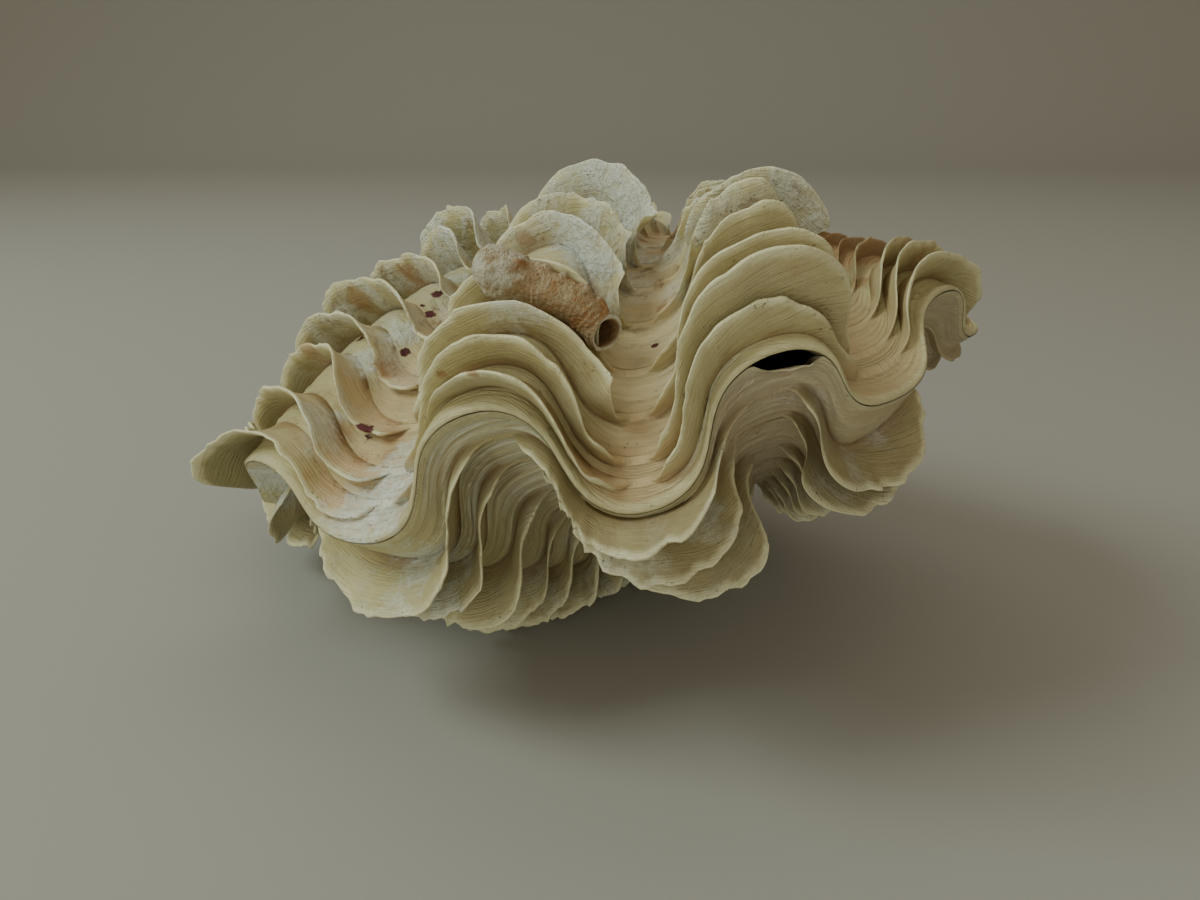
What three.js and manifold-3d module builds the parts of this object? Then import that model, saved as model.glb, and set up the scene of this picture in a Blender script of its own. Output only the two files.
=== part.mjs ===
// Fluted giant clam shell, closed, lying on its lower valve.
// Millimetres. +X right, +Y towards the hinge, +Z up. Origin: the middle of the
// footprint, at the lowest point, so the shell stands on z = 0.
//
// Both valves grow from one mouth line by the same rule: every older mouth is the
// present one, shrunk towards the umbo and turned about the hinge line. The scales
// stand on the ribs along those older mouths.
import * as THREE from 'three';
import { mergeVertices } from 'three/addons/utils/BufferGeometryUtils.js';
import Module from 'manifold-3d';

// ---- driving dimensions -------------------------------------------------
// Mouth line: [angle about the umbo (deg), distance from the umbo, height of the fold].
// Odd entries are crests (ribs of the upper valve), even ones are troughs
// (ribs of the lower valve), the first and the last are the ends of the hinge.
const MOUTH = [
  [-80, 159, 0], [-51, 191.4, 12], [-36.3, 195.4, -8.2], [-22.6, 206.2, 10.2],
  [-7.2, 206, -17.2], [6, 206.5, 15.2], [16.2, 201.3, -18.4], [28.4, 205.8, 15.6],
  [35.6, 194.5, -3.6], [49.7, 166.8, 20.3], [61, 146, 3], [75, 126, 10], [83, 108, 0],
];
const ROUND = 0.55;            // how much wider the crests and troughs are than the flanks
const CURL = { upper: 1.042, lower: 0.714 };   // turn about the hinge per e-fold of growth
const LIE = [-24.26, -16.57, -8.32];           // yaw, roll and pitch of the shell as it lies (deg)
const UMBO = [43.6, 418.2, 57.4];              // umbo before the shift to the footprint
const SHIFT = [5.2, -333.95, 0];
// The lower lip is worn back under the third arch, where the valves gape.
const NOTCH = { from: 6.8, to: 7.26, slope: 0.17, depth: 4.6, reach: 0.08 };
const MATING_GAP = 0.25;       // each valve stays this far from the mating surface
const LIP = 0.965;             // inner edge of the mating lip, as a part of the mouth radius
const WALL_EXTRA = 9;          // how much the wall thickens from the lip towards the umbo
const SCALE_BASE = 1.9;        // half thickness of a scale at its foot
const SCALE_TIP = 0.8;         // half thickness of a scale at its edge
const FIRST = 0.07;            // growth stage where the beak is rounded off
const CAVITY_END = 0.2;        // growth stage where the hollow ends
const STEPS = [2, 3, 3, 4, 4, 4, 4, 4, 4, 3, 2, 1];   // columns between extremes
// Scales, from the mouth to the umbo: growth stage, lean from the surface (deg),
// share of sideways flare, then the height at five places across the rib.
const SCALES_UPPER = [
  { crest: 1, rows: [
    [0.965, 76, 0.35, 7.5, 7.8, 9.0, 9.7, 9.5],
    [0.925, 72, 0.35, 7.6, 8.2, 9.9, 10.8, 8.4],
    [0.88, 73, 0.35, 7.0, 10.5, 9.0, 7.0, 7.8],
    [0.81, 74, 0.35, 7.0, 7.9, 7.7, 9.0, 7.5],
    [0.735, 75, 0.35, 7.6, 8.8, 6.4, 7.8, 6.4],
    [0.665, 75, 0.35, 5.8, 7.7, 7.6, 7.4, 6.0],
    [0.605, 78, 0.35, 5.7, 6.1, 7.5, 6.3, 7.5],
    [0.55, 70, 0.35, 4.8, 7.2, 6.1, 7.0, 6.4],
    [0.49, 73, 0.35, 5.9, 6.5, 7.5, 5.7, 6.6],
    [0.43, 78, 0.35, 5.5, 5.7, 7.5, 6.8, 7.4],
    [0.365, 75, 0.35, 6.0, 6.6, 5.6, 6.0, 6.3],
    [0.305, 77, 0.35, 5.2, 5.7, 6.1, 5.4, 5.0],
  ] },
  { crest: 3, rows: [
    [0.951, 42, 0.34, 38.7, 27.2, 14.5, 11.0, 14.0],
    [0.906, 67, 0.34, 26.0, 15.5, 11.5, 12.0, 14.0],
    [0.839, 68, 0.28, 23.4, 16.6, 11.0, 13.0, 15.0],
    [0.786, 60, 0.4, 28.2, 22.2, 16.1, 13.0, 14.0],
    [0.735, 68, 0.68, 22.6, 24.5, 18.6, 14.4, 14.5],
    [0.67, 74, 0.51, 16.7, 21.7, 16.0, 11.4, 12.3],
    [0.614, 73, 0.3, 16.7, 12.5, 16.1, 17.9, 17.4],
    [0.561, 67, 0.28, 28.1, 29.2, 25.1, 24.7, 33.0],
    [0.507, 73, 0.25, 20.4, 17.5, 16.9, 21.2, 23.5],
    [0.445, 75, 0.35, 7.1, 10.0, 8.0, 9.0, 8.4],
    [0.378, 75, 0.35, 7.9, 10.2, 8.2, 7.5, 6.2],
    [0.316, 74, 0.35, 7.2, 8.6, 7.8, 7.8, 6.8],
  ] },
  { crest: 5, rows: [
    [0.964, 54, 0.3, 8.4, 1.2, 12.8, 18.0, 21.9],
    [0.936, 74, 0.48, 9.8, 6.5, 11.9, 12.5, 16.6],
    [0.894, 79, 0.91, 16.2, 10.8, 12.0, 11.8, 31.7],
    [0.819, 75, 0.84, 12.5, 10.6, 10.3, 13.7, 18.0],
    [0.724, 82, 0.85, 13.8, 9.5, 10.3, 13.5, 25.9],
    [0.649, 80, 0.7, 16.1, 12.6, 9.6, 12.4, 30.9],
    [0.585, 75, 0.93, 12.9, 12.3, 17.2, 19.2, 32.3],
    [0.532, 77, 0.35, 5.1, 5.4, 6.2, 6.9, 5.3],
    [0.474, 73, 0.35, 6.5, 5.0, 6.1, 5.7, 4.6],
    [0.416, 77, 0.35, 5.0, 5.9, 5.2, 5.6, 5.5],
    [0.353, 76, 0.35, 5.3, 5.6, 5.6, 6.5, 5.1],
    [0.295, 81, 0.35, 4.9, 4.5, 4.8, 5.5, 4.9],
  ] },
  { crest: 7, rows: [
    [0.972, 77, 0.28, 15.8, 15.0, 11.6, 6.0, 12.6],
    [0.951, 80, 0.33, 18.8, 18.7, 22.7, 19.9, 18.6],
    [0.89, 77, 0.35, 14.6, 12.8, 16.5, 18.3, 14.9],
    [0.847, 76, 0.0, 10.6, 13.0, 18.6, 20.2, 17.1],
    [0.791, 77, 0.0, 6.4, 9.9, 19.0, 17.8, 14.9],
    [0.724, 71, 0.95, 4.5, 1.5, 16.9, 22.2, 30.9],
    [0.658, 79, 0.35, 5.9, 6.5, 6.5, 6.0, 6.2],
    [0.599, 74, 0.35, 6.3, 5.8, 5.6, 6.6, 5.3],
    [0.533, 80, 0.35, 4.4, 7.6, 6.8, 5.4, 6.1],
    [0.468, 75, 0.35, 3.8, 5.5, 5.6, 6.3, 5.2],
    [0.397, 84, 0.35, 4.9, 6.7, 6.9, 5.2, 4.4],
    [0.332, 77, 0.35, 4.1, 4.8, 5.2, 5.5, 5.3],
  ] },
  { crest: 9, rows: [
    [0.936, 53, 0.7, 11.9, 12.1, 11.3, 15, 22],
    [0.899, 68, 0.2, 13, 12.5, 12, 11, 9],
    [0.867, 64, 0.2, 11, 11, 10, 9, 8],
    [0.802, 72, 0.2, 6, 6.5, 6, 5, 4],
    [0.753, 72, 0.2, 4, 4.5, 4.5, 4, 3],
    [0.703, 72, 0.2, 3.5, 4, 4, 3.5, 3],
    [0.64, 75, 0.35, 4.3, 3.7, 4.5, 4.6, 3.4],
    [0.582, 76, 0.35, 4.4, 4.8, 4.4, 4.2, 4.1],
    [0.518, 75, 0.35, 3.4, 3.4, 3.8, 3.8, 4.6],
    [0.455, 76, 0.35, 3.7, 4.2, 3.5, 4.1, 2.4],
    [0.386, 73, 0.35, 3.4, 2.4, 2.9, 3.8, 3.0],
    [0.323, 74, 0.35, 2.8, 3.0, 3.5, 3.4, 2.8],
  ] },
  { crest: 11, rows: [
    [0.965, 79, 0.35, 6.2, 6.9, 6.9, 7.4, 6.7],
    [0.925, 77, 0.35, 7.0, 8.2, 7.7, 6.8, 6.3],
    [0.88, 80, 0.35, 5.9, 7.3, 7.8, 6.2, 4.9],
    [0.81, 76, 0.35, 5.9, 7.1, 5.5, 7.9, 6.4],
    [0.735, 80, 0.35, 5.4, 6.3, 6.1, 6.0, 4.9],
    [0.665, 75, 0.35, 5.3, 6.0, 6.0, 4.3, 5.7],
    [0.605, 73, 0.35, 4.9, 5.7, 5.0, 6.3, 4.7],
    [0.55, 79, 0.35, 4.4, 5.6, 5.9, 5.1, 4.0],
    [0.49, 77, 0.35, 4.1, 6.0, 5.2, 4.8, 4.3],
    [0.43, 73, 0.35, 4.9, 4.8, 5.5, 6.2, 4.3],
    [0.365, 78, 0.35, 3.7, 3.9, 4.3, 4.3, 3.5],
    [0.305, 77, 0.35, 2.7, 3.7, 5.5, 5.0, 4.2],
  ] },
];
const SCALES_LOWER = [
  { crest: 0, rows: [
    [0.93, 70, 0.35, 4.3, 5.9, 4.8, 5.5, 4.9],
    [0.87, 65, 0.35, 4.6, 3.9, 4.5, 4.5, 3.4],
    [0.8, 63, 0.35, 3.4, 3.6, 4.6, 4.5, 3.7],
    [0.742, 67, 0.35, 3.7, 4.1, 4.1, 4.3, 3.7],
    [0.68, 65, 0.35, 4.0, 4.4, 3.9, 3.9, 4.0],
    [0.61, 70, 0.35, 3.6, 2.8, 2.7, 4.2, 3.8],
    [0.545, 64, 0.35, 3.8, 4.0, 3.9, 3.2, 3.8],
    [0.48, 65, 0.35, 3.5, 3.8, 3.8, 4.1, 3.1],
    [0.42, 68, 0.35, 2.9, 3.4, 4.3, 3.4, 3.6],
    [0.36, 64, 0.35, 3.3, 3.7, 3.0, 3.6, 3.6],
    [0.305, 65, 0.35, 2.9, 3.0, 3.4, 2.8, 3.5],
    [0.25, 65, 0.35, 2.3, 3.8, 3.5, 3.3, 3.0],
  ] },
  { crest: 2, rows: [
    [0.934, 63, 0.3, 27.5, 19.6, 10.9, 18.6, 16.7],
    [0.881, 58, 0.35, 28.7, 26.5, 17.4, 13.6, 14.2],
    [0.81, 70, 0.35, 11.9, 15.4, 15.9, 13.0, 11.5],
    [0.751, 67, 0.35, 12.8, 14.2, 11.1, 12.5, 11.1],
    [0.688, 66, 0.35, 9.1, 14.6, 13.1, 13.3, 9.8],
    [0.617, 68, 0.35, 16.3, 13.4, 16.2, 16.7, 13.6],
    [0.552, 68, 0.35, 11.4, 14.7, 13.7, 13.3, 14.3],
    [0.486, 66, 0.35, 11.6, 9.6, 10.3, 12.3, 11.1],
    [0.425, 65, 0.35, 12.5, 11.3, 13.0, 11.2, 12.0],
    [0.364, 69, 0.35, 10.0, 11.8, 14.0, 10.5, 10.0],
    [0.309, 71, 0.35, 8.4, 11.9, 10.1, 9.9, 9.2],
    [0.253, 70, 0.35, 9.1, 10.0, 9.7, 7.6, 7.6],
  ] },
  { crest: 4, rows: [
    [0.913, 64, 0.35, 13.7, 18.6, 21.7, 19.7, 14.8],
    [0.868, 68, 0.37, 18.4, 18.4, 19.3, 19.7, 18.9],
    [0.808, 69, 0.32, 17.2, 18.4, 20.4, 24.2, 17.3],
    [0.732, 86, 0, 24.1, 27.5, 19, 12.1, 8.1],
    [0.68, 84, 0, 23.7, 27.2, 19.3, 11.8, 11.1],
    [0.616, 69, 0.2, 20.1, 24.7, 20.5, 15.9, 14.4],
    [0.556, 68, 0.35, 13.2, 12.8, 13.6, 14.8, 12.1],
    [0.489, 68, 0.35, 11.2, 12.5, 14.0, 9.5, 8.3],
    [0.428, 68, 0.35, 10.1, 13.2, 11.2, 11.3, 7.5],
    [0.367, 57, 0.35, 13.6, 12.3, 12.6, 13.7, 13.1],
    [0.311, 63, 0.35, 12.3, 13.7, 13.1, 13.8, 12.8],
    [0.255, 62, 0.35, 10.7, 11.0, 10.0, 11.6, 12.0],
  ] },
  { crest: 6, rows: [
    [0.982, 54, 0.0, 15.1, 14.9, 15.8, 12.5, 5.0],
    [0.909, 66, 0.49, 16.2, 13.3, 18.2, 12.7, 1.2],
    [0.785, 66, 0.45, 14.8, 13.6, 18.7, 23.8, 11.2],
    [0.728, 63, 0.35, 13.1, 12.4, 16.7, 16.9, 11.3],
    [0.667, 69, 0.35, 13.0, 15.8, 16.3, 18.0, 16.6],
    [0.598, 66, 0.35, 15.9, 13.1, 14.2, 17.3, 14.1],
    [0.535, 65, 0.35, 10.0, 11.3, 15.9, 15.2, 12.7],
    [0.471, 65, 0.35, 13.0, 17.6, 18.7, 19.7, 15.6],
    [0.412, 66, 0.35, 19.1, 24.0, 24.8, 21.0, 21.1],
    [0.353, 63, 0.35, 13.8, 12.0, 15.3, 16.8, 12.6],
    [0.299, 64, 0.35, 6.7, 14.2, 13.1, 12.4, 10.7],
    [0.245, 71, 0.35, 10.5, 11.4, 11.5, 11.8, 10.8],
  ] },
  { crest: 8, rows: [
    [0.87, 66, 0.44, 17.3, 17.1, 19.0, 12.4, 5.1],
    [0.818, 67, 0.63, 22.3, 22.3, 21.4, 13.0, 14.7],
    [0.752, 66, 0.35, 11.8, 13.5, 15.7, 12.9, 13.4],
    [0.698, 66, 0.35, 14.2, 16.2, 12.9, 16.0, 12.8],
    [0.64, 65, 0.35, 12.2, 15.2, 11.9, 14.4, 14.3],
    [0.574, 63, 0.35, 15.0, 12.2, 13.7, 12.6, 11.1],
    [0.513, 61, 0.35, 10.8, 12.8, 11.6, 14.2, 13.7],
    [0.451, 67, 0.35, 12.2, 12.6, 12.7, 16.0, 12.7],
    [0.395, 66, 0.35, 10.9, 8.8, 13.0, 10.8, 10.9],
    [0.339, 67, 0.35, 11.4, 14.2, 12.7, 13.1, 10.0],
    [0.287, 71, 0.35, 10.8, 9.0, 13.6, 10.0, 8.3],
    [0.235, 60, 0.35, 11.9, 9.6, 9.7, 14.4, 9.6],
  ] },
  { crest: 10, rows: [
    [0.93, 71, 0.35, 3.6, 3.3, 4.4, 3.6, 3.7],
    [0.87, 62, 0.35, 3.8, 4.0, 4.1, 4.4, 4.0],
    [0.8, 60, 0.35, 3.6, 4.7, 4.2, 3.5, 3.2],
    [0.742, 66, 0.35, 3.0, 4.5, 3.7, 3.4, 3.1],
    [0.68, 64, 0.35, 3.2, 3.5, 3.3, 3.9, 3.8],
    [0.61, 67, 0.35, 2.9, 4.0, 2.8, 3.2, 3.0],
    [0.545, 60, 0.35, 2.9, 3.0, 3.4, 2.8, 2.3],
    [0.48, 65, 0.35, 3.1, 2.5, 3.3, 3.4, 3.1],
    [0.42, 63, 0.35, 2.6, 3.1, 2.8, 2.6, 3.2],
    [0.36, 62, 0.35, 3.2, 3.1, 2.8, 3.1, 3.0],
    [0.305, 64, 0.35, 2.2, 2.4, 2.9, 2.9, 2.5],
    [0.25, 68, 0.35, 2.2, 3.1, 3.0, 2.7, 2.0],
  ] },
  { crest: 12, rows: [
    [0.93, 67, 0.35, 4.0, 4.0, 4.3, 3.8, 3.1],
    [0.87, 67, 0.35, 4.0, 3.9, 3.3, 3.6, 3.2],
    [0.8, 66, 0.35, 3.7, 4.5, 3.7, 3.5, 3.3],
    [0.742, 65, 0.35, 3.0, 3.5, 3.5, 3.0, 3.4],
    [0.68, 67, 0.35, 2.7, 3.6, 3.2, 4.1, 3.2],
    [0.61, 60, 0.35, 2.7, 3.1, 3.6, 3.0, 3.2],
    [0.545, 64, 0.35, 2.9, 3.4, 3.2, 3.1, 3.1],
    [0.48, 67, 0.35, 2.4, 3.0, 3.4, 3.1, 2.6],
    [0.42, 64, 0.35, 2.7, 2.4, 1.9, 2.5, 2.1],
    [0.36, 71, 0.35, 2.1, 2.5, 2.9, 2.8, 2.5],
    [0.305, 70, 0.35, 2.2, 2.5, 3.0, 2.3, 1.9],
    [0.25, 66, 0.35, 2.4, 2.7, 2.7, 2.8, 2.1],
  ] },
];
const BLUNT_ROWS = 9;          // scales with a flat edge; older ones are worn to a ridge
// Encrusting tube on the second large rib: growth stage, then along the rib and
// the height of the axis over it; half widths of the section; depth of the open end.
const TUBE_PATH = [[4.88, 12.8, 0.847], [4.97, 10.4, 0.847], [5.05, 7.2, 0.848], [5.15, 5.6, 0.848], [5.31, 6.0, 0.845], [5.50, 7.8, 0.835], [5.74, 9.8, 0.823], [5.82, 10.4, 0.819]];
const TUBE_HALF = [6.2, 6.4];
const TUBE_BORE = [3.9, 4.1, 10];
const TUBE_GAP = 0.35;

// ---- helpers -------------------------------------------------------------
const rad = (d) => d * Math.PI / 180;
const add = (a, b, s = 1) => [a[0] + b[0] * s, a[1] + b[1] * s, a[2] + b[2] * s];
const cross = (a, b) => [a[1] * b[2] - a[2] * b[1], a[2] * b[0] - a[0] * b[2], a[0] * b[1] - a[1] * b[0]];
const len = (a) => Math.hypot(a[0], a[1], a[2]);
const unit = (a) => { const l = len(a); return [a[0] / l, a[1] / l, a[2] / l]; };

function spline(xs, ys) {            // natural cubic, extended past its ends
  const n = xs.length, m = new Array(n).fill(0), c = new Array(n).fill(0), d = new Array(n).fill(0);
  for (let i = 1; i < n - 1; i++) {
    const h0 = xs[i] - xs[i - 1], h1 = xs[i + 1] - xs[i];
    const w = 2 * (h0 + h1) - h0 * c[i - 1];
    c[i] = h1 / w;
    d[i] = (6 * ((ys[i + 1] - ys[i]) / h1 - (ys[i] - ys[i - 1]) / h0) - h0 * d[i - 1]) / w;
  }
  for (let i = n - 2; i > 0; i--) m[i] = d[i] - c[i] * m[i + 1];
  return (x) => {
    let i = 0; while (i < n - 2 && x > xs[i + 1]) i++;
    const h = xs[i + 1] - xs[i], a = (xs[i + 1] - x) / h, b = (x - xs[i]) / h;
    return a * ys[i] + b * ys[i + 1] + ((a * a * a - a) * m[i] + (b * b * b - b) * m[i + 1]) * h * h / 6;
  };
}
const LAST = MOUTH.length - 1;
const mouthRadius = spline(MOUTH.map((_, i) => i), MOUTH.map((m) => m[1]));
function mouth(u) {
  u = Math.min(Math.max(u, 0), LAST);
  const k = Math.min(Math.floor(u), LAST - 1), t = u - k, a = MOUTH[k], b = MOUTH[k + 1];
  const phi = rad(a[0] + (b[0] - a[0]) * (t + ROUND * Math.sin(2 * Math.PI * t) / (2 * Math.PI)));
  const z = a[2] + (b[2] - a[2]) * (1 - Math.cos(Math.PI * t)) / 2;
  return { phi, z, r: mouthRadius(u) };
}
const turn = (v, b) => { const c = Math.cos(b), s = Math.sin(b); return [v[0], v[1] * c + v[2] * s, -v[1] * s + v[2] * c]; };
// A point of the outer face with its growth direction and outward directions.
function face(g, u, side) {
  const kap = side > 0 ? CURL.upper : CURL.lower, b = kap * Math.log(1 / g) * side;
  const m = mouth(u), v = [m.r * Math.sin(m.phi), -m.r * Math.cos(m.phi), m.z];
  const e = 1e-3, ma = mouth(u - e), mb = mouth(u + e);
  const dv = [mb.r * Math.sin(mb.phi) - ma.r * Math.sin(ma.phi), -mb.r * Math.cos(mb.phi) + ma.r * Math.cos(ma.phi), mb.z - ma.z];
  const rv = turn(v, b), c = Math.cos(b), s = Math.sin(b);
  const dr = [0, -v[1] * s + v[2] * c, -v[1] * c - v[2] * s];
  const grow = add(rv, dr, -kap * side), T = unit(grow);
  const across = turn([m.r * Math.cos(m.phi), m.r * Math.sin(m.phi), 0], b);
  const N = unit(cross(across, T).map((q) => -q * side));
  const F = unit(cross(turn(dv, b), T).map((q) => -q * side));
  return { P: rv.map((q) => q * g), T, N, F, rate: len(grow) };
}
// Scale at column u of row j: growth stage of its foot and its vector to the edge.
const KNOTS = [0.08, 0.29, 0.5, 0.71, 0.92];
function scaleAt(table, j, u, side) {
  const first = table[0].crest;
  let i = Math.round((u - first) / 2); i = Math.min(Math.max(i, 0), table.length - 1);
  const k = table[i].crest, row = table[i].rows[j], q = u - k;      // q in -1..1 across the rib
  const left = i > 0 ? table[i - 1].rows[j][0] : row[0], right = i < table.length - 1 ? table[i + 1].rows[j][0] : row[0];
  const aq = Math.min(Math.abs(q), 1), w = aq * aq * (3 - 2 * aq);
  const g = row[0] + ((q < 0 ? left : right) - row[0]) / 2 * w;
  const envelope = Math.pow(Math.max(1 - Math.pow(aq, 2.6), 0), 0.8);
  const height = Math.max(spline(KNOTS, row.slice(3))((q + 1) / 2), 0.8) * envelope;
  const f = face(g, u, side), N = unit([0, 1, 2].map((n) => f.N[n] * (1 - row[2]) + f.F[n] * row[2]));
  const a = rad(row[1]), D = [0, 1, 2].map((n) => Math.cos(a) * f.T[n] + Math.sin(a) * N[n]);
  const E = [0, 1, 2].map((n) => Math.sin(a) * f.T[n] - Math.cos(a) * N[n]);
  return { g, f, D, E, height };
}
const columns = [0];
STEPS.forEach((n, k) => { for (let i = 1; i <= n; i++) columns.push(k + i / n); });

const ease = (x) => { const t = Math.min(Math.max(x, 0), 1); return t * t * (3 - 2 * t); };
function notch(g, u, side) {
  if (side > 0) return 0;
  const along = ease((u - NOTCH.from) / NOTCH.slope) * ease((NOTCH.to - u) / NOTCH.slope);
  return NOTCH.depth * along * Math.max(0, 1 - (1 - g) / NOTCH.reach);
}

function valve(side, table) {
  const V = [], tri = [];
  const put = (p) => { V.push([p[0], p[1], side > 0 ? Math.max(p[2], -1e9) : p[2]]); return V.length - 1; };
  const gap = MATING_GAP * side;
  // outer face: one row of points for each stage, with the hinge foot at both ends
  const outerAt = (fn) => {
    const pts = columns.map(fn);
    const L = pts[0], R = pts[pts.length - 1];
    return [put([L[0], L[1] + 5, gap]), ...pts.map(put), put([R[0], R[1] + 5, gap])];
  };
  const stage = (g) => (u) => {
    const at = typeof g === 'function' ? g(u) : g, p = face(at, u, side).P;
    return [p[0], p[1], p[2] + gap - notch(at, u, side)];
  };
  const outer = [outerAt(stage(FIRST)), outerAt(stage(0.12))];
  const rows = table[0].rows.length;
  for (let j = rows - 1; j >= 0; j--) {
    const at = columns.map((u) => scaleAt(table, j, u, side));
    const by = new Map(columns.map((u, i) => [u, at[i]]));
    const foot = (d) => (u) => { const s = by.get(u); return stage(Math.min(s.g + d * SCALE_BASE / s.f.rate, 0.996))(u); };
    const edge = (d) => (u) => {
      const s = by.get(u), p = add(add(s.f.P, s.D, s.height), s.E, d * SCALE_TIP);
      return [p[0], p[1], p[2] + gap];
    };
    outer.push(outerAt(foot(-1)));
    if (j < BLUNT_ROWS) outer.push(outerAt(edge(-1)), outerAt(edge(1)));
    else outer.push(outerAt(edge(0)));
    outer.push(outerAt(foot(1)));
  }
  outer.push(outerAt(stage(1)));
  // inner face: the mating lip, then the smooth bowl
  const inner = [CAVITY_END, 0.26, 0.36, 0.48, 0.62, 0.76, 0.88, 0.955, 1].map((g) => {
    const b = (side > 0 ? CURL.upper : CURL.lower) * Math.log(1 / g) * side;
    const calm = g >= 1 ? 1 : 0.25 + 0.65 * g;          // the folds die out inwards
    const pts = columns.map((u) => {
      const m = mouth(u), f = face(g, u, side);
      let p = turn([LIP * m.r * Math.sin(m.phi), -LIP * m.r * Math.cos(m.phi), m.z * calm], b).map((q) => q * g);
      p = add(p, f.N, -WALL_EXTRA * Math.pow(1 - g, 0.7));
      const shell = f.P[2] * side, own = p[2] * side;    // heights above the hinge plane
      if (g < 1) p[2] = side * Math.max(own, u < 1.2 || u > LAST - 1.2 ? 0.35 * shell : own, g < 0.9 ? 0.6 : own);
      return [p[0], p[1], p[2] + gap - notch(g, u, side)];
    });
    const L = pts[0], R = pts[pts.length - 1];
    return [put([L[0], L[1] + 0.4, gap]), ...pts.map(put), put([R[0], R[1] + 0.4, gap])];
  });
  const quad = (a, b, c, d) => { tri.push([a, b, c], [a, c, d]); };
  const n = columns.length + 2;
  for (let r = 0; r + 1 < outer.length; r++) for (let i = 0; i + 1 < n; i++) quad(outer[r][i], outer[r + 1][i], outer[r + 1][i + 1], outer[r][i + 1]);
  for (let r = 0; r + 1 < inner.length; r++) for (let i = 0; i + 1 < n; i++) quad(inner[r][i], inner[r][i + 1], inner[r + 1][i + 1], inner[r + 1][i]);
  const oe = outer[outer.length - 1], ie = inner[inner.length - 1];
  for (let i = 0; i + 1 < n; i++) quad(oe[i], ie[i], ie[i + 1], oe[i + 1]);
  // beak cap and the end wall of the hollow
  const fan = (ring, out) => {
    const c = [0, 1, 2].map((q) => ring.reduce((s, i) => s + V[i][q], 0) / ring.length), m = put(c);
    for (let i = 0; i + 1 < ring.length; i++) tri.push(out ? [ring[i], ring[i + 1], m] : [ring[i + 1], ring[i], m]);
    tri.push(out ? [ring[ring.length - 1], ring[0], m] : [ring[0], ring[ring.length - 1], m]);
  };
  fan(outer[0], true); fan(inner[0], false);
  // hinge plates: flat strips between the outer and the inner foot lines
  const strip = (a, b, flip) => {
    let i = 0, k = 0;
    const along = (q) => Math.abs(V[q][0]);
    while (i + 1 < a.length || k + 1 < b.length) {
      const stepA = k + 1 >= b.length || (i + 1 < a.length && along(a[i + 1]) <= along(b[k + 1]));
      if (stepA) { tri.push(flip ? [a[i], b[k], a[i + 1]] : [a[i], a[i + 1], b[k]]); i++; }
      else { tri.push(flip ? [a[i], b[k], b[k + 1]] : [a[i], b[k + 1], b[k]]); k++; }
    }
  };
  strip(outer.map((r) => r[0]), inner.map((r) => r[0]), true);
  strip(outer.map((r) => r[n - 1]), inner.map((r) => r[n - 1]), false);
  quad(outer[0][0], outer[0][n - 1], inner[0][n - 1], inner[0][0]);
  if (side < 0) tri.forEach((t) => t.reverse());
  return { V, tri };
}

// ---- the shell as it lies -------------------------------------------------
const lie = new THREE.Matrix4().makeRotationZ(rad(LIE[0]))
  .multiply(new THREE.Matrix4().makeRotationY(rad(LIE[1])))
  .multiply(new THREE.Matrix4().makeRotationX(rad(LIE[2])));
lie.premultiply(new THREE.Matrix4().makeTranslation(UMBO[0] + SHIFT[0], UMBO[1] + SHIFT[1], UMBO[2] + SHIFT[2]));
const wasm = await Module(); wasm.setup();

function toGeometry({ V, tri }) {
  const pos = new Float32Array(V.length * 3);
  V.forEach((p, i) => { const q = new THREE.Vector3(...p).applyMatrix4(lie); pos.set([q.x, q.y, q.z], i * 3); });
  const g = new THREE.BufferGeometry();
  g.setAttribute('position', new THREE.BufferAttribute(pos, 3));
  g.setIndex(tri.flat());
  return g;
}
function toSolid(g) {
  const c = g.clone(); for (const k of ['normal', 'uv']) if (c.getAttribute(k)) c.deleteAttribute(k);
  const m = mergeVertices(c, 1e-4);
  return new wasm.Manifold(new wasm.Mesh({ numProp: 3, vertProperties: new Float32Array(m.getAttribute('position').array), triVerts: new Uint32Array(m.getIndex().array) }));
}
function fromSolid(s) {
  const m = s.getMesh(), g = new THREE.BufferGeometry();
  g.setAttribute('position', new THREE.BufferAttribute(new Float32Array(m.vertProperties), 3));
  g.setIndex(Array.from(m.triVerts));
  g.computeVertexNormals();
  return g;
}
const upperSolid = toSolid(toGeometry(valve(1, SCALES_UPPER)));
let lowerSolid = toSolid(toGeometry(valve(-1, SCALES_LOWER)));
// the scales that the shell lies on are worn flat at z = 0
const ground = new THREE.BoxGeometry(900, 900, 60).translate(0, 0, -30);
lowerSolid = lowerSolid.subtract(toSolid(ground));

const stone = (color) => new THREE.MeshStandardMaterial({ color, roughness: 0.75, metalness: 0 });
const shell = new THREE.Group();
const upper = new THREE.Mesh(fromSolid(upperSolid), stone(0xd9cba6)); upper.name = 'upper_valve';
const lower = new THREE.Mesh(fromSolid(lowerSolid), stone(0xd2c5a2)); lower.name = 'lower_valve';
shell.add(upper, lower);

// ---- encrusting tube -------------------------------------------------------
function tubeSolid(half, path, sides, taper) {
  const V = [], tri = [];
  path.forEach(({ c, T, N }, i) => {
    const k = taper(i, path.length);
    for (let q = 0; q < sides; q++) {
      const a = 2 * Math.PI * q / sides;
      V.push([0, 1, 2].map((n) => c[n] + T[n] * half[0] * k * Math.cos(a) + N[n] * half[1] * k * Math.sin(a)));
    }
  });
  const n = path.length;
  for (let i = 0; i + 1 < n; i++) for (let q = 0; q < sides; q++) {
    const a = i * sides + q, b = i * sides + (q + 1) % sides;
    tri.push([a, b + sides, b], [a, a + sides, b + sides]);
  }
  const s = V.length; V.push(path[0].c, path[n - 1].c);
  for (let q = 0; q < sides; q++) {
    tri.push([s, q, (q + 1) % sides]);
    tri.push([s + 1, (n - 1) * sides + (q + 1) % sides, (n - 1) * sides + q]);
  }
  return { V, tri };
}
const axis = [];
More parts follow.
